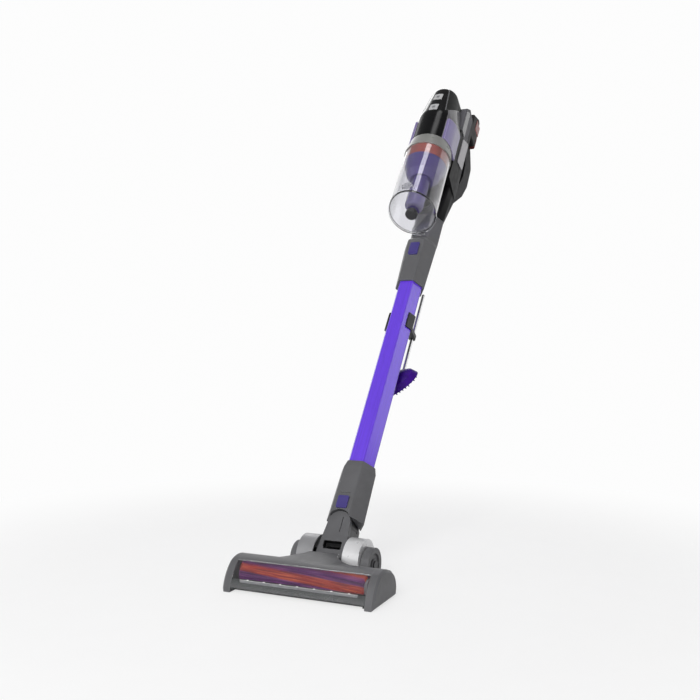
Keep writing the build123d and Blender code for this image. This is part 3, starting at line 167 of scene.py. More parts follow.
def edge_marks(tree, radius_mm):
    """A normal that rounds off sharp edges, a mask of the outer edges, lightened for wear and as a painted
    highlight, and a mask of the grooves, darkened as painted shade.
    """
    rounded = add_node(tree, "ShaderNodeBevel", {"Radius": radius_mm * MM}, samples=4).outputs["Normal"]
    plain = add_node(tree, "ShaderNodeNewGeometry").outputs["Normal"]
    match = add_node(tree, "ShaderNodeVectorMath", {0: rounded, 1: plain}, operation="DOT_PRODUCT")
    bent = add_node(tree, "ShaderNodeMapRange",
                    {"Value": match.outputs["Value"], "From Min": 1.0, "From Max": 0.8})
    # The ambient occlusion finds the grooves, which get painted shade.
    open_sky = add_node(tree, "ShaderNodeAmbientOcclusion", {"Distance": GROOVE_REACH},
                        samples=4, only_local=True)
    groove = add_node(tree, "ShaderNodeMapRange",
                      {"Value": open_sky.outputs["AO"], "From Min": 0.9, "From Max": 0.3})
    outer = add_node(tree, "ShaderNodeMath", {0: bent.outputs["Result"], 1: groove.outputs["Result"]},
                     operation="SUBTRACT", use_clamp=True)
    return rounded, outer.outputs["Value"], groove.outputs["Result"]


def edge_wear_light_and_shade(tree, tone, outer, groove, bright, dark):
    """A tone with outer edges brighter, for wear and as a painted highlight, and grooves darker as painted
    shade.
    """
    for mask, share, colour in ((outer, EDGE_WEAR_AND_HIGHLIGHT_SHARE, bright), (groove, GROOVE_SHADE_SHARE, dark)):
        part = add_node(tree, "ShaderNodeMapRange", {"Value": mask, "To Max": share}).outputs["Result"]
        mixed = add_node(tree, "ShaderNodeMix", {"Factor": part}, data_type="RGBA")
        tree.links.new(tone, mixed.inputs[6])
        mixed.inputs[7].default_value = colour
        tone = mixed.outputs[2]
    return tone


print("parts of a finish: 6")

# %% [markdown]
# ## Moulded housings
# The head, neck and body are ABS, moulded in a spark-eroded tool. That gives the eye a fine even grain, a
# cloudy change of shade where the melt flowed, and edges that handling has polished. The edges are also
# lightened as a painted highlight, and the grooves are darkened as painted shade. The grain is really about
# 0.1 mm, too fine to show here, so it is drawn coarser. The shade is set by colour, gloss and grain, so one
# function makes all of these finishes.


# %% Moulded housings
def moulded(name, colour, gloss, grain_mm=0.8, depth_mm=0.01, edge_mm=0.9, edge_shade=1.9, **sockets):
    """Moulded plastic: fine grain, flow shading, edges lighter for wear and as a painted highlight, and
    painted shade in the grooves.
    """
    material, tree, shader = start_finish(name, **sockets)
    vector = object_place(tree)
    rounded, outer, groove = edge_marks(tree, edge_mm)
    flow = cloudy_colour(tree, vector, 40, linear(colour, 0.92), linear(colour, 1.08))
    edges_worn_lit_shaded = edge_wear_light_and_shade(tree, flow, outer, groove, linear(colour, edge_shade), linear(colour, 0.3))
    tree.links.new(edges_worn_lit_shaded, shader.inputs["Base Color"])
    tree.links.new(cloudy_value(tree, vector, 14, gloss - 0.04, gloss + 0.05), shader.inputs["Roughness"])
    tree.links.new(fine_relief(tree, vector, grain_mm, depth_mm, rounded), shader.inputs["Normal"])
    return material


# The grey housing's bright edges are partly wear and partly a painted highlight.
GREY_HOUSING = {"colour": "#5d5d5f", "gloss": 0.4, "edge_mm": 1.5, "edge_shade": 2.6,
                "Specular_IOR_Level": 0.22}
SATIN = {"gloss": 0.22, "depth_mm": 0.003, "edge_mm": 1.4}
grey_plastic = moulded("grey_abs_moulded", **GREY_HOUSING)
chassis_plastic = moulded("mid_grey_abs_moulded", "#2f3131", 0.5, Specular_IOR_Level=0.2)
charcoal_plastic = moulded("charcoal_abs_moulded", "#272729", 0.5, Specular_IOR_Level=0.1)
dark_plastic = moulded("dark_grey_nylon_moulded", "#5a5a5c", 0.5)
black_plastic = moulded("black_abs_moulded", "#1c1c1e", 0.42)
soft_black = moulded("black_soft_touch_coat", "#191a19", 0.55, depth_mm=0.006, Specular_IOR_Level=0.2)
warm_plastic = moulded("warm_grey_abs_satin", "#858582", 0.3, depth_mm=0.004)
flank_plastic = moulded("smoke_grey_abs_satin", "#68676a", edge_shade=2.4, **SATIN)
panel_plastic = moulded("light_grey_abs_satin", "#97949a", edge_shade=1.8, **SATIN)
violet_plastic = moulded("violet_abs_moulded", "#41387a", 0.35, depth_mm=0.006)
print("moulded housings:", len(bpy.data.materials))

# %% [markdown]
# ## Gloss pieces
# The visor on the nose, the lavender side trims, the cyclone and the red ring came out of polished tools.
# They have no grain. What shows is a soft wave in the reflections, wipe marks that only change the gloss,
# and a painted highlight along the edges. Their grooves are darkened as painted shade.


# %% Gloss pieces
def polished(name, colour, gloss, edge_mm=0.8, edge_shade=2.0, **sockets):
    """Gloss plastic: soft waves, wipe marks along the stick, a painted highlight along the edges and painted
    shade in the grooves.
    """
    material, tree, shader = start_finish(name, **sockets)
    vector = object_place(tree, turn=STICK_TURN, stretch=(1, 1, 0.25))
    rounded, outer, groove = edge_marks(tree, edge_mm)
    flow = cloudy_colour(tree, vector, 30, linear(colour, 0.9), linear(colour, 1.1))
    edges_worn_lit_shaded = edge_wear_light_and_shade(tree, flow, outer, groove, linear(colour, edge_shade), linear(colour, 0.4))
    tree.links.new(edges_worn_lit_shaded, shader.inputs["Base Color"])
    tree.links.new(cloudy_value(tree, vector, 7, gloss * 0.75, gloss * 1.35), shader.inputs["Roughness"])
    tree.links.new(fine_relief(tree, vector, 14, 0.006, rounded), shader.inputs["Normal"])
    return material


# The bright edge lines on these gloss pieces are painted highlights.
gloss_black = polished("black_polycarbonate_polished", "#0a0a0b", 0.16, edge_shade=6.0,
                       Specular_IOR_Level=0.2)
lavender_plastic = polished("lavender_abs_lacquered", "#7a70a0", 0.2, edge_mm=2.6, edge_shade=4.5,
                            Coat_Weight=0.4)
cyclone_plastic = polished("purple_polycarbonate_polished", "#443a6a", 0.14)
red_plastic = polished("red_abs_polished", "#84423b", 0.2, edge_shade=1.6)
latch_plastic = polished("dark_red_abs_polished", "#8c2c24", 0.25)
print("gloss pieces: 5")

# %% [markdown]
# ## Metals and metallic paint
# The wand is drawn aluminium under a purple lacquer, so faint die lines run up the stick below a smooth
# clear coat. The coat is no metal, so the side facets mirror the pale studio without any purple in it. The
# pins are turned steel, and the handle of the pet tool is chromed. A metal keeps the default IOR. The die
# lines are drawn about 1 mm wide, coarser than real, so that they show.
#
# The barrel covers are sprayed with silver paint. Its flakes lie at random, so it has a fine even sparkle
# instead of lines, and the moulding function from above makes it. The left cover looks much greyer than the
# right one, so it gets a darker copy of the same silver paint, as painted shade.


# %% Metals
def drawn(name, colour, gloss, line_mm, turn, **sockets):
    """Drawn or turned metal, bare or coated: fine lines along one direction, edges lighter for wear and as a
    painted highlight, and painted shade in the grooves.
    """
    material, tree, shader = start_finish(name, **sockets)
    vector = object_place(tree, turn=turn, stretch=(1, 1, 0.01))
    rounded, outer, groove = edge_marks(tree, 0.7)
    lines = cloudy_colour(tree, vector, line_mm, linear(colour, 0.88), linear(colour, 1.1))
    edges_worn_lit_shaded = edge_wear_light_and_shade(tree, lines, outer, groove, linear(colour, 1.6), linear(colour, 0.3))
    tree.links.new(edges_worn_lit_shaded, shader.inputs["Base Color"])
    smear = cloudy_value(tree, vector, line_mm, gloss - 0.04, gloss + 0.06)
    tree.links.new(smear, shader.inputs["Roughness"])
    tree.links.new(fine_relief(tree, vector, line_mm, 0.002, rounded), shader.inputs["Normal"])
    return material


ACROSS = (0, radians(90), 0)
purple_metal = drawn("aluminium_purple_lacquer", "#6236d6", 0.4, 1.1, STICK_TURN, Coat_Weight=0.8,
                     Coat_Roughness=0.12)
SPRAYED = {"grain_mm": 0.5, "depth_mm": 0.004, "Metallic": 0.35}
silver_paint = moulded("silver_paint_sprayed", "#e2e2e3", 0.3, edge_shade=1.2, **SPRAYED)
# Painted shade: a darker copy of the silver paint, for the left barrel cover.
shaded_silver_paint = moulded("silver_paint_painted_shade", "#98989a", 0.34, edge_shade=1.6, **SPRAYED)
steel = drawn("steel_turned", "#8d8d90", 0.32, 0.6, ACROSS, Metallic=1.0)
# The pivot axle gets a dark steel.
dark_steel = drawn("steel_dark_turned", "#3a3a3c", 0.4, 0.6, ACROSS, Metallic=1.0)
chrome = drawn("chrome_plated", "#d2d2d4", 0.1, 0.8, STICK_TURN, Metallic=1.0)
satin_chrome = drawn("chrome_satin_plated", "#8f8f92", 0.25, 0.8, STICK_TURN, Metallic=1.0)
print("metals and paints: 7")

# %% [markdown]
# ## Clear mouldings
# The dust bin, its door and the brush window are clear polycarbonate, with an IOR of 1.58. Glass in a path
# tracer blocks the lamps, which would leave the inside dark, so rays that go straight to a lamp meet a
# Transparent shader instead. A trace of haze and a soft wave stand for dust and for the tool's polish.


# %% Clear mouldings
POLYCARBONATE_IOR = 1.58


def clear(name, tint, gloss):
    """Clear moulding that lets the lamps through, with soft waves and a trace of haze."""
    material, tree, shader = start_finish(name, Transmission_Weight=1.0, IOR=POLYCARBONATE_IOR)
    vector = object_place(tree, turn=STICK_TURN, stretch=(1, 1, 0.3))
    rounded = edge_marks(tree, 0.7)[0]
    tone = cloudy_colour(tree, vector, 24, linear(tint, 0.97), linear(tint))
    tree.links.new(tone, shader.inputs["Base Color"])
    tree.links.new(cloudy_value(tree, vector, 10, gloss * 0.6, gloss * 1.4), shader.inputs["Roughness"])
    tree.links.new(fine_relief(tree, vector, 16, 0.004, rounded), shader.inputs["Normal"])
    lamp_ray = add_node(tree, "ShaderNodeLightPath").outputs["Is Shadow Ray"]
    through = add_node(tree, "ShaderNodeBsdfTransparent", {"Color": linear(tint)}).outputs["BSDF"]
    surface = add_node(tree, "ShaderNodeMixShader",
                       {"Fac": lamp_ray, 1: shader.outputs["BSDF"], 2: through})
    tree.links.new(surface.outputs["Shader"], tree.nodes["Material Output"].inputs["Surface"])
    return material


bin_plastic = clear("polycarbonate_clear_bin", "#f4f4f7", 0.05)
window_plastic = clear("polycarbonate_clear_window", "#f6f6f7", 0.04)
frosted_plastic = clear("polypropylene_frosted", "#dcdce0", 0.3)
print("clear mouldings: 3")

# %% [markdown]
# ## Rubber and felt
# Moulded rubber is matt, with a mottled bloom on it. The strip that the head glides on is short felt, whose
# tufts are drawn as the cells of a Voronoi pattern.


# %% Rubber
def rubber(name, colour, gloss, grain_mm, **sockets):
    """Moulded rubber: matt, mottled, with soft edges that are lighter for wear and as a painted highlight,
    and painted shade in the grooves.
    """
    material, tree, shader = start_finish(name, **sockets)
    vector = object_place(tree)
    rounded, outer, groove = edge_marks(tree, 0.6)
    bloom = cloudy_colour(tree, vector, 8, linear(colour, 0.85), linear(colour, 1.2))
    edges_worn_lit_shaded = edge_wear_light_and_shade(tree, bloom, outer, groove, linear(colour, 1.7), linear(colour, 0.35))
    tree.links.new(edges_worn_lit_shaded, shader.inputs["Base Color"])
    tree.links.new(cloudy_value(tree, vector, 5, gloss - 0.07, gloss + 0.07), shader.inputs["Roughness"])
    tree.links.new(fine_relief(tree, vector, grain_mm, 0.02, rounded), shader.inputs["Normal"])
    return material


tyre_rubber = rubber("rubber_tyre_moulded", "#5a5a5c", 0.6, 1.2)
belt_rubber = rubber("rubber_belt_moulded", "#1f1f20", 0.7, 0.8)
purple_rubber = rubber("rubber_purple_moulded", "#360a78", 0.45, 1.2, Specular_IOR_Level=0.15)
print("rubbers: 3")

# %% Felt
FELT_GREY = "#4a4a4d"
FELT_TUFT = 0.9 * MM
felt, felt_tree, felt_shader = start_finish("felt_pressed", Roughness=0.9, Sheen_Weight=0.4)
tufts = add_node(felt_tree, "ShaderNodeTexVoronoi",
                 {"Vector": object_place(felt_tree), "Scale": 1 / FELT_TUFT})
felt_shades = add_node(felt_tree, "ShaderNodeValToRGB", {"Fac": tufts.outputs["Distance"]})
for stop, shade in zip(felt_shades.color_ramp.elements, (1.2, 0.5)):
    stop.color = linear(FELT_GREY, shade)
felt_pile = add_node(felt_tree, "ShaderNodeBump",
                     {"Height": tufts.outputs["Distance"], "Distance": FELT_TUFT / 3})
felt_tree.links.new(felt_shades.outputs["Color"], felt_shader.inputs["Base Color"])
felt_tree.links.new(felt_pile.outputs["Normal"], felt_shader.inputs["Normal"])
print("felt tufts:", FELT_TUFT / MM, "mm")

# %% [markdown]
# ## Colour that changes over one piece
# The light strip is grey, and white along its top. Each key on the nose is pale with a darker square in the
# middle. The battery's rear face is dark red, and the body is black where it faces the bin and grey beside
# the nose. The floor of the elbow's opening is darkened to near black as painted shade, where the opening
# falls dark. None of these is a separate piece, so each is a mask from a place on the object: a height, a
# square round the key's centre, or a block set square to the stick.

# %% Light strip
# The top of the strip is white.
WHITE_TOP_HEIGHT = 1.0 * MM
strip_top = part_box("led_strip")[1][2]
light_strip, strip_tree, strip_shader = start_finish("light_strip_moulded")
strip_place = object_place(strip_tree)
strip_height = add_node(strip_tree, "ShaderNodeSeparateXYZ", {"Vector": strip_place}).outputs["Z"]
white_top_share = add_node(strip_tree, "ShaderNodeMapRange",
                      {"Value": strip_height, "From Min": strip_top - 1.3 * WHITE_TOP_HEIGHT,
                       "From Max": strip_top - 0.7 * WHITE_TOP_HEIGHT}).outputs["Result"]
strip_grey = cloudy_colour(strip_tree, strip_place, 9, linear("#68696a"), linear("#78797a"))
strip_colour = add_node(strip_tree, "ShaderNodeMix", {"Factor": white_top_share}, data_type="RGBA")
strip_tree.links.new(strip_grey, strip_colour.inputs[6])
strip_colour.inputs[7].default_value = linear("#f2f2f0")
strip_tree.links.new(strip_colour.outputs[2], strip_shader.inputs["Base Color"])
strip_tree.links.new(cloudy_value(strip_tree, strip_place, 6, 0.3, 0.42), strip_shader.inputs["Roughness"])
print("light strip top:", round(strip_top / MM, 1), "mm")


# %% Keys
KEY_SQUARE = (("X", 3.2), ("Z", 3.6))
KEY_BLUR = 0.4


def key_face(name, node):
    """Pale key with a darker square, set square to the stick."""
    material, tree, shader = start_finish(name)
    vector = object_place(tree, turn=STICK_TURN, place=middle(node))
    split = add_node(tree, "ShaderNodeSeparateXYZ", {"Vector": vector}).outputs
    square = None
    for axis, half in KEY_SQUARE:
        distance = add_node(tree, "ShaderNodeMath", {0: split[axis]}, operation="ABSOLUTE").outputs["Value"]
        inside = add_node(tree, "ShaderNodeMapRange", {"Value": distance, "From Min": (half + KEY_BLUR) * MM,
                                                       "From Max": half * MM}).outputs["Result"]
        square = inside if square is None else add_node(
            tree, "ShaderNodeMath", {0: square, 1: inside}, operation="MINIMUM").outputs["Value"]
    face = add_node(tree, "ShaderNodeMix", {"Factor": square}, data_type="RGBA")
    tree.links.new(cloudy_colour(tree, vector, 8, linear("#b4b4b5"), linear("#bebebf")), face.inputs[6])
    face.inputs[7].default_value = linear("#77777a")
    tree.links.new(face.outputs[2], shader.inputs["Base Color"])
    tree.links.new(cloudy_value(tree, vector, 5, 0.3, 0.42), shader.inputs["Roughness"])
    tree.links.new(fine_relief(tree, vector, 0.8, 0.004, edge_marks(tree, 0.9)[0]), shader.inputs["Normal"])
    return material


power_key = key_face("power_key_moulded", "power_button")
boost_key = key_face("boost_key_moulded", "boost_button")
print("keys: 2")


# %% Second shot and painted shade
def second_shot_and_painted_shade(finish, colour, *steps):
    """A second colour in a block square to the stick, for a second shot of plastic and for painted shade:
    steps are an axis, a start and an end.
    """
    tree = finish.node_tree
    shader = tree.nodes["Principled BSDF"]
    first = shader.inputs["Base Color"].links[0].from_socket
    place = object_place(tree, turn=STICK_TURN, place=STICK_FOOT)
    split = add_node(tree, "ShaderNodeSeparateXYZ", {"Vector": place}).outputs
    share = None
    for axis, start_mm, full_mm in steps:
        within = add_node(tree, "ShaderNodeMapRange", {"Value": split[axis], "From Min": start_mm * MM,
                                                       "From Max": full_mm * MM}).outputs["Result"]
        share = within if share is None else add_node(
            tree, "ShaderNodeMath", {0: share, 1: within}, operation="MULTIPLY").outputs["Value"]
    both = add_node(tree, "ShaderNodeMix", {"Factor": share}, data_type="RGBA")
    tree.links.new(first, both.inputs[6])
    both.inputs[7].default_value = linear(colour)
    tree.links.new(both.outputs[2], shader.inputs["Base Color"])


print("axes of a block:", "X across, Y behind and Z up the stick")

# %% Two-shot mouldings and painted shade
BATTERY_RED = ("Y", 66, 66.5)
BODY_FRONT = ("Y", 4.0, 3.5)
BESIDE_NOSE = ("Z", 1005, 1006)
# The elbow's block darkens the floor of its opening to near black: painted shade where the opening falls
# dark.
ELBOW_RECESS_SHADE = (("X", -17.5, -17), ("X", 14.5, 14), ("Y", -10, -10.5), ("Z", 8, 8.5), ("Z", 19.5, 19))
battery_case = moulded("battery_abs_two_shot", "#282727", 0.48, Specular_IOR_Level=0.1)
second_shot_and_painted_shade(battery_case, "#5c2824", BATTERY_RED)
second_shot_and_painted_shade(charcoal_plastic, "#101011", BODY_FRONT)
second_shot_and_painted_shade(charcoal_plastic, "#66656a", BODY_FRONT, BESIDE_NOSE)
grey_plastic_shaded_recess = moulded("grey_abs_painted_recess_shade", **GREY_HOUSING)
second_shot_and_painted_shade(grey_plastic_shaded_recess, "#131314", *ELBOW_RECESS_SHADE)
print("two-colour mouldings: 3")

# %% [markdown]
# ## Nylon bristles
# The roll carries orange-red and purple nylon in bands that wind round it. Filaments lie in streaks along
# the band, each of a slightly different shade. The pattern is wound the same way: the angle about the
# roll's axis, less the twist, runs across the band, and the length along X is stretched.

# %% Nylon
strip_low, strip_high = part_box("brush_bristles_red")
brush_axis = (Vector(strip_low) + Vector(strip_high)) / 2
bristle_reach = (strip_high[2] - strip_low[2]) / 2
brush_half = (strip_high[0] - strip_low[0]) / 2
ROW_TWIST = radians(42)
STREAK = 2.8 * MM
STREAK_STRETCH = 20


def nylon(name, deep, middle_shade, bright):
    """Nylon filaments in streaks that wind round the brush roll."""
    material, tree, shader = start_finish(name, Roughness=0.4, Sheen_Weight=0.15)
    vector = object_place(tree, place=(0, brush_axis.y, brush_axis.z), stretch=(1, -1, 1))
    split = add_node(tree, "ShaderNodeSeparateXYZ", {"Vector": vector}).outputs
    angle = add_node(tree, "ShaderNodeMath", {0: split["Z"], 1: split["Y"]},
                     operation="ARCTAN2").outputs["Value"]
    twist = add_node(tree, "ShaderNodeMath", {0: split["X"], 1: ROW_TWIST / (2 * brush_half)},
                     operation="MULTIPLY").outputs["Value"]
    across = add_node(tree, "ShaderNodeMath", {0: angle, 1: twist}, operation="ADD").outputs["Value"]
    wound = add_node(tree, "ShaderNodeCombineXYZ", {"X": across, "Y": split["X"]}).outputs["Vector"]
    laid = add_node(tree, "ShaderNodeMapping",
                    {"Vector": wound, "Scale": (bristle_reach, 1 / STREAK_STRETCH, 1)}).outputs["Vector"]
    streaks = add_node(tree, "ShaderNodeTexNoise", {"Vector": laid, "Scale": 1 / STREAK, "Detail": 3})
    shades = add_node(tree, "ShaderNodeValToRGB", {"Fac": streaks.outputs["Fac"]})
    shades.color_ramp.elements.new(0.5)
    for stop, position, colour in zip(shades.color_ramp.elements, (CLOUD_LOW, 0.5, CLOUD_HIGH),
                                      (deep, middle_shade, bright)):
        stop.position = position
        stop.color = linear(colour)
    tree.links.new(shades.outputs["Color"], shader.inputs["Base Color"])
    return material


red_nylon = nylon("nylon_orange_red", "#5c1426", "#c03c30", "#f58c60")
purple_nylon = nylon("nylon_purple", "#300a3a", "#742a7c", "#bc6cb4")
print("brush reach:", round(bristle_reach / MM, 1), "mm, length:", round(2 * brush_half / MM), "mm")

# %% [markdown]
# ## Which piece has which finish
# The CAD nodes keep their shapes. Each gets its finish in its first material slot, from one table.

# %% Dress the nodes
finishes = (
    (grey_plastic, "head_cover end_cap_left end_cap_right connector_shell nozzle_neck"),
    (grey_plastic_shaded_recess, "elbow_fork"),
    (chassis_plastic, "head_chassis"),
    (dark_plastic, "brush_core brush_pulley wheel_left wheel_right fan_impeller"),
    (charcoal_plastic, "body_shell_left body_shell_right"),
    (battery_case, "battery_pack"),
    (black_plastic, "elbow_back swivel_knuckle accessory_clip door_plug"),
    (soft_black, "nose_cover"),
    (gloss_black, "nose_visor"),
    (flank_plastic, "nose_flank side_panel_left side_panel_right"),
    (panel_plastic, "rear_panel_left rear_panel_right"),
    (lavender_plastic, "side_trim_left side_trim_right"),
    (warm_plastic, "bin_collar"),
    (red_plastic, "filter_ring"),
    (cyclone_plastic, "cyclone_cone"),
    (bin_plastic, "dust_bin bin_door"),
    (window_plastic, "brush_window"),
    (frosted_plastic, "door_latch"),
    (latch_plastic, "battery_latch"),
    (violet_plastic, "head_release_button wand_release_button"),
    (power_key, "power_button"),
    (boost_key, "boost_button"),
    (purple_metal, "wand_tube"),
    (silver_paint, "pivot_cover_right"),
    (shaded_silver_paint, "pivot_cover_left"),
    (chrome, "pet_brush_handle"),
    (satin_chrome, "nose_trim"),
    (dark_steel, "pivot_axle"),
    (steel, "head_screws brush_motor brush_bearings motor_pinion door_hinge_pin suction_motor"),
    (tyre_rubber, "tyre_left tyre_right"),
    (belt_rubber, "drive_belt"),
    (purple_rubber, "pet_brush_pad"),
    (light_strip, "led_strip"),
    (felt, "glide_strip"),
    (red_nylon, "brush_bristles_red"),
    (purple_nylon, "brush_bristles_purple"),
)
dressed = set()
for finish, names in finishes:
    for name in names.split():
        nodes[name].data.materials.clear()
        nodes[name].data.materials.append(finish)
        dressed.add(name)
print("dressed nodes:", len(dressed), "left plain:", sorted(set(nodes) - dressed))

# %% [markdown]
# ## Dense bristles on the brush roll
# Each colour fills five narrow bands that wind slowly round the core. A tuft of three filaments that lean
# different ways is modelled once. Three Array modifiers then repeat it round the band, along the helix and
# for the other bands: each steps by an empty that is turned about the roll's axis and shifted along it.

# %% Steps round the roll
BRISTLE_ROOT = 14.4 * MM
FILAMENT = 0.7 * MM
BANDS = 5
BAND_SPAN = pi / BANDS
RED_START = radians(68)
TUFTS_ROUND = 5
TUFTS_ALONG = 110
FILAMENT_LEANS = (0, 0.08, -0.08)
FILAMENT_SPARES = (0.3 * MM, 0.9 * MM, 1.5 * MM)


def about_brush(angle, shift):
    """Turn about the brush roll's axis, with a shift along it."""
    to_axis = Matrix.Translation((0, brush_axis.y, brush_axis.z))
    return to_axis @ Matrix.Rotation(angle, 4, "X") @ to_axis.inverted() @ Matrix.Translation((shift, 0, 0))


print("tufts of a colour:", BANDS * TUFTS_ROUND * TUFTS_ALONG)


# %% Tufts and bands
def bristle_tuft(name, turn):
    """Three tapered filaments of different lengths that stand on the core at an angle."""
    lean_step = BAND_SPAN / TUFTS_ROUND / len(FILAMENT_LEANS)
    filaments = []
    for index, (lean, spare) in enumerate(zip(FILAMENT_LEANS, FILAMENT_SPARES)):
        length = bristle_reach - BRISTLE_ROOT - spare
        radius = BRISTLE_ROOT + length / 2
        angle = turn + index * lean_step
        place = (brush_axis.x - brush_half + (2 + index) * FILAMENT, brush_axis.y - radius * sin(angle),
                 brush_axis.z + radius * cos(angle))
        bpy.ops.mesh.primitive_cone_add(vertices=4, radius1=FILAMENT, radius2=0.5 * FILAMENT, depth=length,
                                        location=place, rotation=(angle, lean, 0))
        filaments.append(bpy.context.object)
    bpy.ops.object.select_all(action="DESELECT")
    for filament in filaments:
        filament.select_set(True)
    bpy.context.view_layer.objects.active = filaments[0]
    bpy.ops.object.join()
    bpy.ops.object.transform_apply(location=True, rotation=True, scale=True)
    tuft = bpy.context.object
    tuft.name = name
    return tuft


def bristle_bands(name, start_angle, finish):
    """Bands of tufts of one colour that wind round the core."""
    band = bristle_tuft(name, start_angle - radians(90) - BAND_SPAN / 2)
    along = (2 * brush_half - 8 * FILAMENT) / TUFTS_ALONG
    for step, count, angle, shift in (("round", TUFTS_ROUND, BAND_SPAN / TUFTS_ROUND, 0),
                                      ("along", TUFTS_ALONG, ROW_TWIST / TUFTS_ALONG, along),
                                      ("bands", BANDS, 2 * pi / BANDS, 0)):
        bpy.ops.object.empty_add(location=(0, 0, 0))
        stepper = bpy.context.object
        stepper.matrix_world = about_brush(angle, shift)
        array = band.modifiers.new(step, "ARRAY")
        array.count = count
        array.use_relative_offset = False
        array.use_object_offset = True
        array.offset_object = stepper
        bpy.ops.object.select_all(action="DESELECT")
        band.select_set(True)
        bpy.context.view_layer.objects.active = band
        bpy.context.view_layer.update()
        bpy.ops.object.modifier_apply(modifier=step)
        bpy.data.objects.remove(stepper)
    band.data.materials.clear()
    band.data.materials.append(finish)
    return band


bpy.ops.object.select_all(action="DESELECT")
bristles_red = bristle_bands("bristles_red", RED_START, red_nylon)
bristles_purple = bristle_bands("bristles_purple", RED_START + BAND_SPAN, purple_nylon)
for band, node, slot in ((bristles_red, "brush_bristles_red", "red_nylon"),
                         (bristles_purple, "brush_bristles_purple", "purple_nylon")):
    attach(band, "brush")
    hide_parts(node)
    print(band.name, "faces:", len(band.data.polygons))

# %% [markdown]
# ## Studio
# The floor is a roll of white paper that curves up behind the object. Close to the object part of it is plain
# paper, so it keeps the shadow. Further out the camera and mirror rays see it as even white, as in a product
# photograph, without any more light on the object.

# %% Paper sweep
SWEEP_SIZE = 16.0
SWEEP_MIDDLE = -4.0
SWEEP_HEIGHT = 6.0
SWEEP_CURVE = 2.0
bpy.ops.object.select_all(action="DESELECT")
bpy.ops.mesh.primitive_plane_add(size=SWEEP_SIZE, location=(0, SWEEP_MIDDLE, 0))
sweep = bpy.context.object
sweep.name = "paper_sweep"
bpy.ops.object.transform_apply(location=True)
rear_edge = max(vertex.co.y for vertex in sweep.data.vertices)
bpy.ops.object.mode_set(mode="EDIT")
bpy.ops.mesh.select_mode(type="EDGE")
bpy.ops.mesh.select_all(action="DESELECT")
bpy.ops.object.mode_set(mode="OBJECT")
for edge in sweep.data.edges:
    edge.select = all(sweep.data.vertices[index].co.y > rear_edge - MM for index in edge.vertices)
bpy.ops.object.mode_set(mode="EDIT")
bpy.ops.mesh.extrude_region_move(TRANSFORM_OT_translate={"value": (0, 0, SWEEP_HEIGHT)})
bpy.ops.object.mode_set(mode="OBJECT")
curve_up = sweep.modifiers.new("curve_up", "BEVEL")
curve_up.width = SWEEP_CURVE
curve_up.segments = 24
curve_up.limit_method = "ANGLE"
bpy.ops.object.modifier_apply(modifier="curve_up")
bpy.ops.object.shade_smooth()
print("sweep faces:", len(sweep.data.polygons))


# %% Seen rays
def seen_rays(tree, mirror_share=1.0):
    """One for a ray from the camera, a share for one from a mirror or clear plastic, nought for light."""
    rays = add_node(tree, "ShaderNodeLightPath").outputs
    mirrored = add_node(tree, "ShaderNodeMath", {0: rays["Is Glossy Ray"], 1: rays["Is Transmission Ray"]},
                        operation="MAXIMUM").outputs["Value"]
    weighed = add_node(tree, "ShaderNodeMath", {0: mirrored, 1: mirror_share},
                       operation="MULTIPLY").outputs["Value"]
    return add_node(tree, "ShaderNodeMath", {0: rays["Is Camera Ray"], 1: weighed},
                    operation="MAXIMUM").outputs["Value"]


print("white for: camera, mirror and clear rays")

# %% Paper
PLAIN_WITHIN = 0.45
WHITE_BEYOND = 1.1
NEAR_SHARE = 0.72
EVEN_WHITE = 0.98
paper, paper_tree, paper_shader = start_finish("paper_white_roll", Roughness=0.9)
paper_place = object_place(paper_tree, place=(0, 0.1, 0))
paper_tree.links.new(cloudy_colour(paper_tree, paper_place, 60, linear("#efefef"), linear("#f2f2f2")),
                     paper_shader.inputs["Base Color"])
away = add_node(paper_tree, "ShaderNodeVectorMath", {0: paper_place}, operation="LENGTH").outputs["Value"]
share = add_node(paper_tree, "ShaderNodeMapRange",
                 {"Value": away, "From Min": PLAIN_WITHIN, "From Max": WHITE_BEYOND, "To Min": NEAR_SHARE},
                 interpolation_type="SMOOTHSTEP").outputs["Result"]
white_share = add_node(paper_tree, "ShaderNodeMath", {0: share, 1: seen_rays(paper_tree)},
                       operation="MULTIPLY").outputs["Value"]
even_white = add_node(paper_tree, "ShaderNodeEmission",
                      {"Color": (1, 1, 1, 1), "Strength": EVEN_WHITE}).outputs["Emission"]
paper_surface = add_node(paper_tree, "ShaderNodeMixShader",
                         {"Fac": white_share, 1: paper_shader.outputs["BSDF"], 2: even_white})
paper_tree.links.new(paper_surface.outputs["Shader"], paper_tree.nodes["Material Output"].inputs["Surface"])
sweep.data.materials.append(paper)
print("plain paper within:", PLAIN_WITHIN, "m")

# %% [markdown]
# ## Light
# A large soft key stands in front, a little to the right and above, and shapes the housings. A tall weak lamp
# fills from the left, and another stands behind. A lamp on the right, a little behind, stands where the
# wand's right facets mirror it towards the camera and gives them their pale sheen, and one overhead draws a
# pale streak down the bin. These two light no matt surface. A weak sky fills the shadows. Mirror rays that
# leave near the horizon see it as white, like the paper.

# %% Sky
SKY_STRENGTH = 0.3
HORIZON_LOW, HORIZON_HIGH = 0.15, 0.45
scene = bpy.context.scene
scene.view_settings.view_transform = "Standard"
sky = bpy.data.worlds.new("studio_sky")
sky.use_nodes = True
sky_tree = sky.node_tree
fill_sky = sky_tree.nodes["Background"]
fill_sky.inputs["Color"].default_value = linear("#f7f7f9")
fill_sky.inputs["Strength"].default_value = SKY_STRENGTH
white_sky = add_node(sky_tree, "ShaderNodeBackground", {"Color": (1, 1, 1, 1), "Strength": EVEN_WHITE})
sky_direction = add_node(sky_tree, "ShaderNodeTexCoord").outputs["Generated"]
sky_rise = add_node(sky_tree, "ShaderNodeSeparateXYZ", {"Vector": sky_direction}).outputs["Z"]
near_horizon = add_node(sky_tree, "ShaderNodeMapRange",
                        {"Value": sky_rise, "From Min": HORIZON_HIGH, "From Max": HORIZON_LOW})
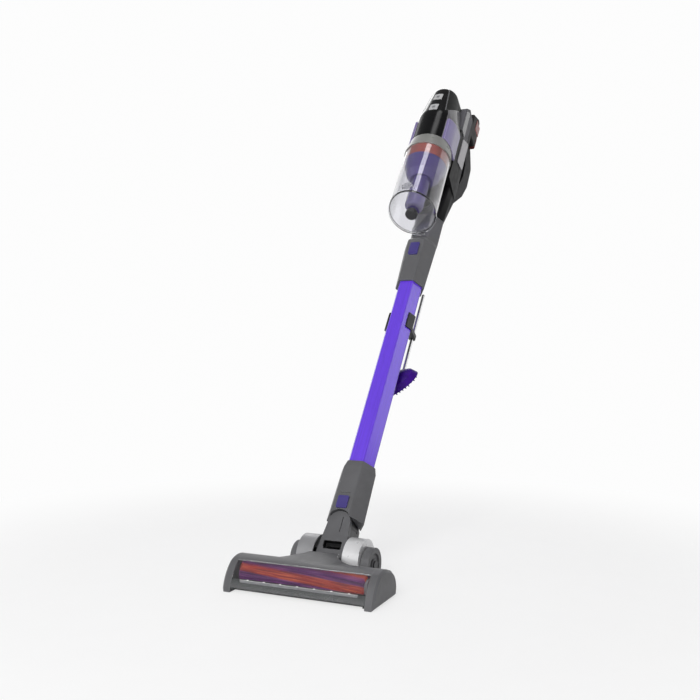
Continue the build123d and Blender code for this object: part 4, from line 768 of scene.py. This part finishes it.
sky_share = seen_rays(sky_tree, near_horizon.outputs["Result"])
sky_surface = add_node(sky_tree, "ShaderNodeMixShader",
                       {"Fac": sky_share, 1: fill_sky.outputs["Background"],
                        2: white_sky.outputs["Background"]})
sky_tree.links.new(sky_surface.outputs["Shader"], sky_tree.nodes["World Output"].inputs["Surface"])
scene.world = sky
print("sky strength:", SKY_STRENGTH)


# %% Lamps
def soft_lamp(name, place, aim, size, power):
    """A rectangular lamp that faces a point."""
    bpy.ops.object.light_add(type="AREA", location=place)
    lamp = bpy.context.object
    lamp.name = name
    lamp.data.shape = "RECTANGLE"
    lamp.data.size, lamp.data.size_y = size
    lamp.data.energy = power
    lamp.rotation_euler = (Vector(aim) - Vector(place)).to_track_quat("-Z", "Y").to_euler()
    return lamp


soft_lamp("key_lamp", (0.25, -2.7, 1.8), (0, 0.2, 0.4), (1.6, 1.6), 84)
soft_lamp("fill_lamp", (-2.6, -0.9, 1.5), (0, 0.3, 0.5), (0.7, 2.0), 7)
soft_lamp("rear_lamp", (-0.8, 2.4, 2.0), (0, 0.3, 0.5), (1.4, 1.0), 12)
for lamp in (soft_lamp("sheen_lamp", (1.83, 1.11, 1.2), (0, 0.3, 0.38), (0.5, 1.1), 3),
             soft_lamp("bin_lamp", (0.35, 0.35, 2.9), (0, 0.5, 0.7), (0.9, 0.5), 5)):
    lamp.visible_diffuse = False

# %% [markdown]
# ## Camera
# The photograph was taken from the front right, 1.4 m away, at the height of the wand's lower half. The
# place, aim and lens were fitted to the corners of the head, the edges of the wand and the rims of the bin.

# %% Camera
CAMERA_PLACE = Vector((0.61537, -1.22442, 0.39519))
CAMERA_AIM = Vector((0.0250, 0.0794, 0.3802))
bpy.ops.object.camera_add(location=CAMERA_PLACE)
camera = bpy.context.object
camera.rotation_euler = (CAMERA_AIM - CAMERA_PLACE).to_track_quat("-Z", "Y").to_euler()
camera.data.sensor_width = 36
camera.data.lens = 44.51
camera.data.dof.use_dof = False
scene.camera = camera
print("camera:", [round(part, 3) for part in CAMERA_PLACE])
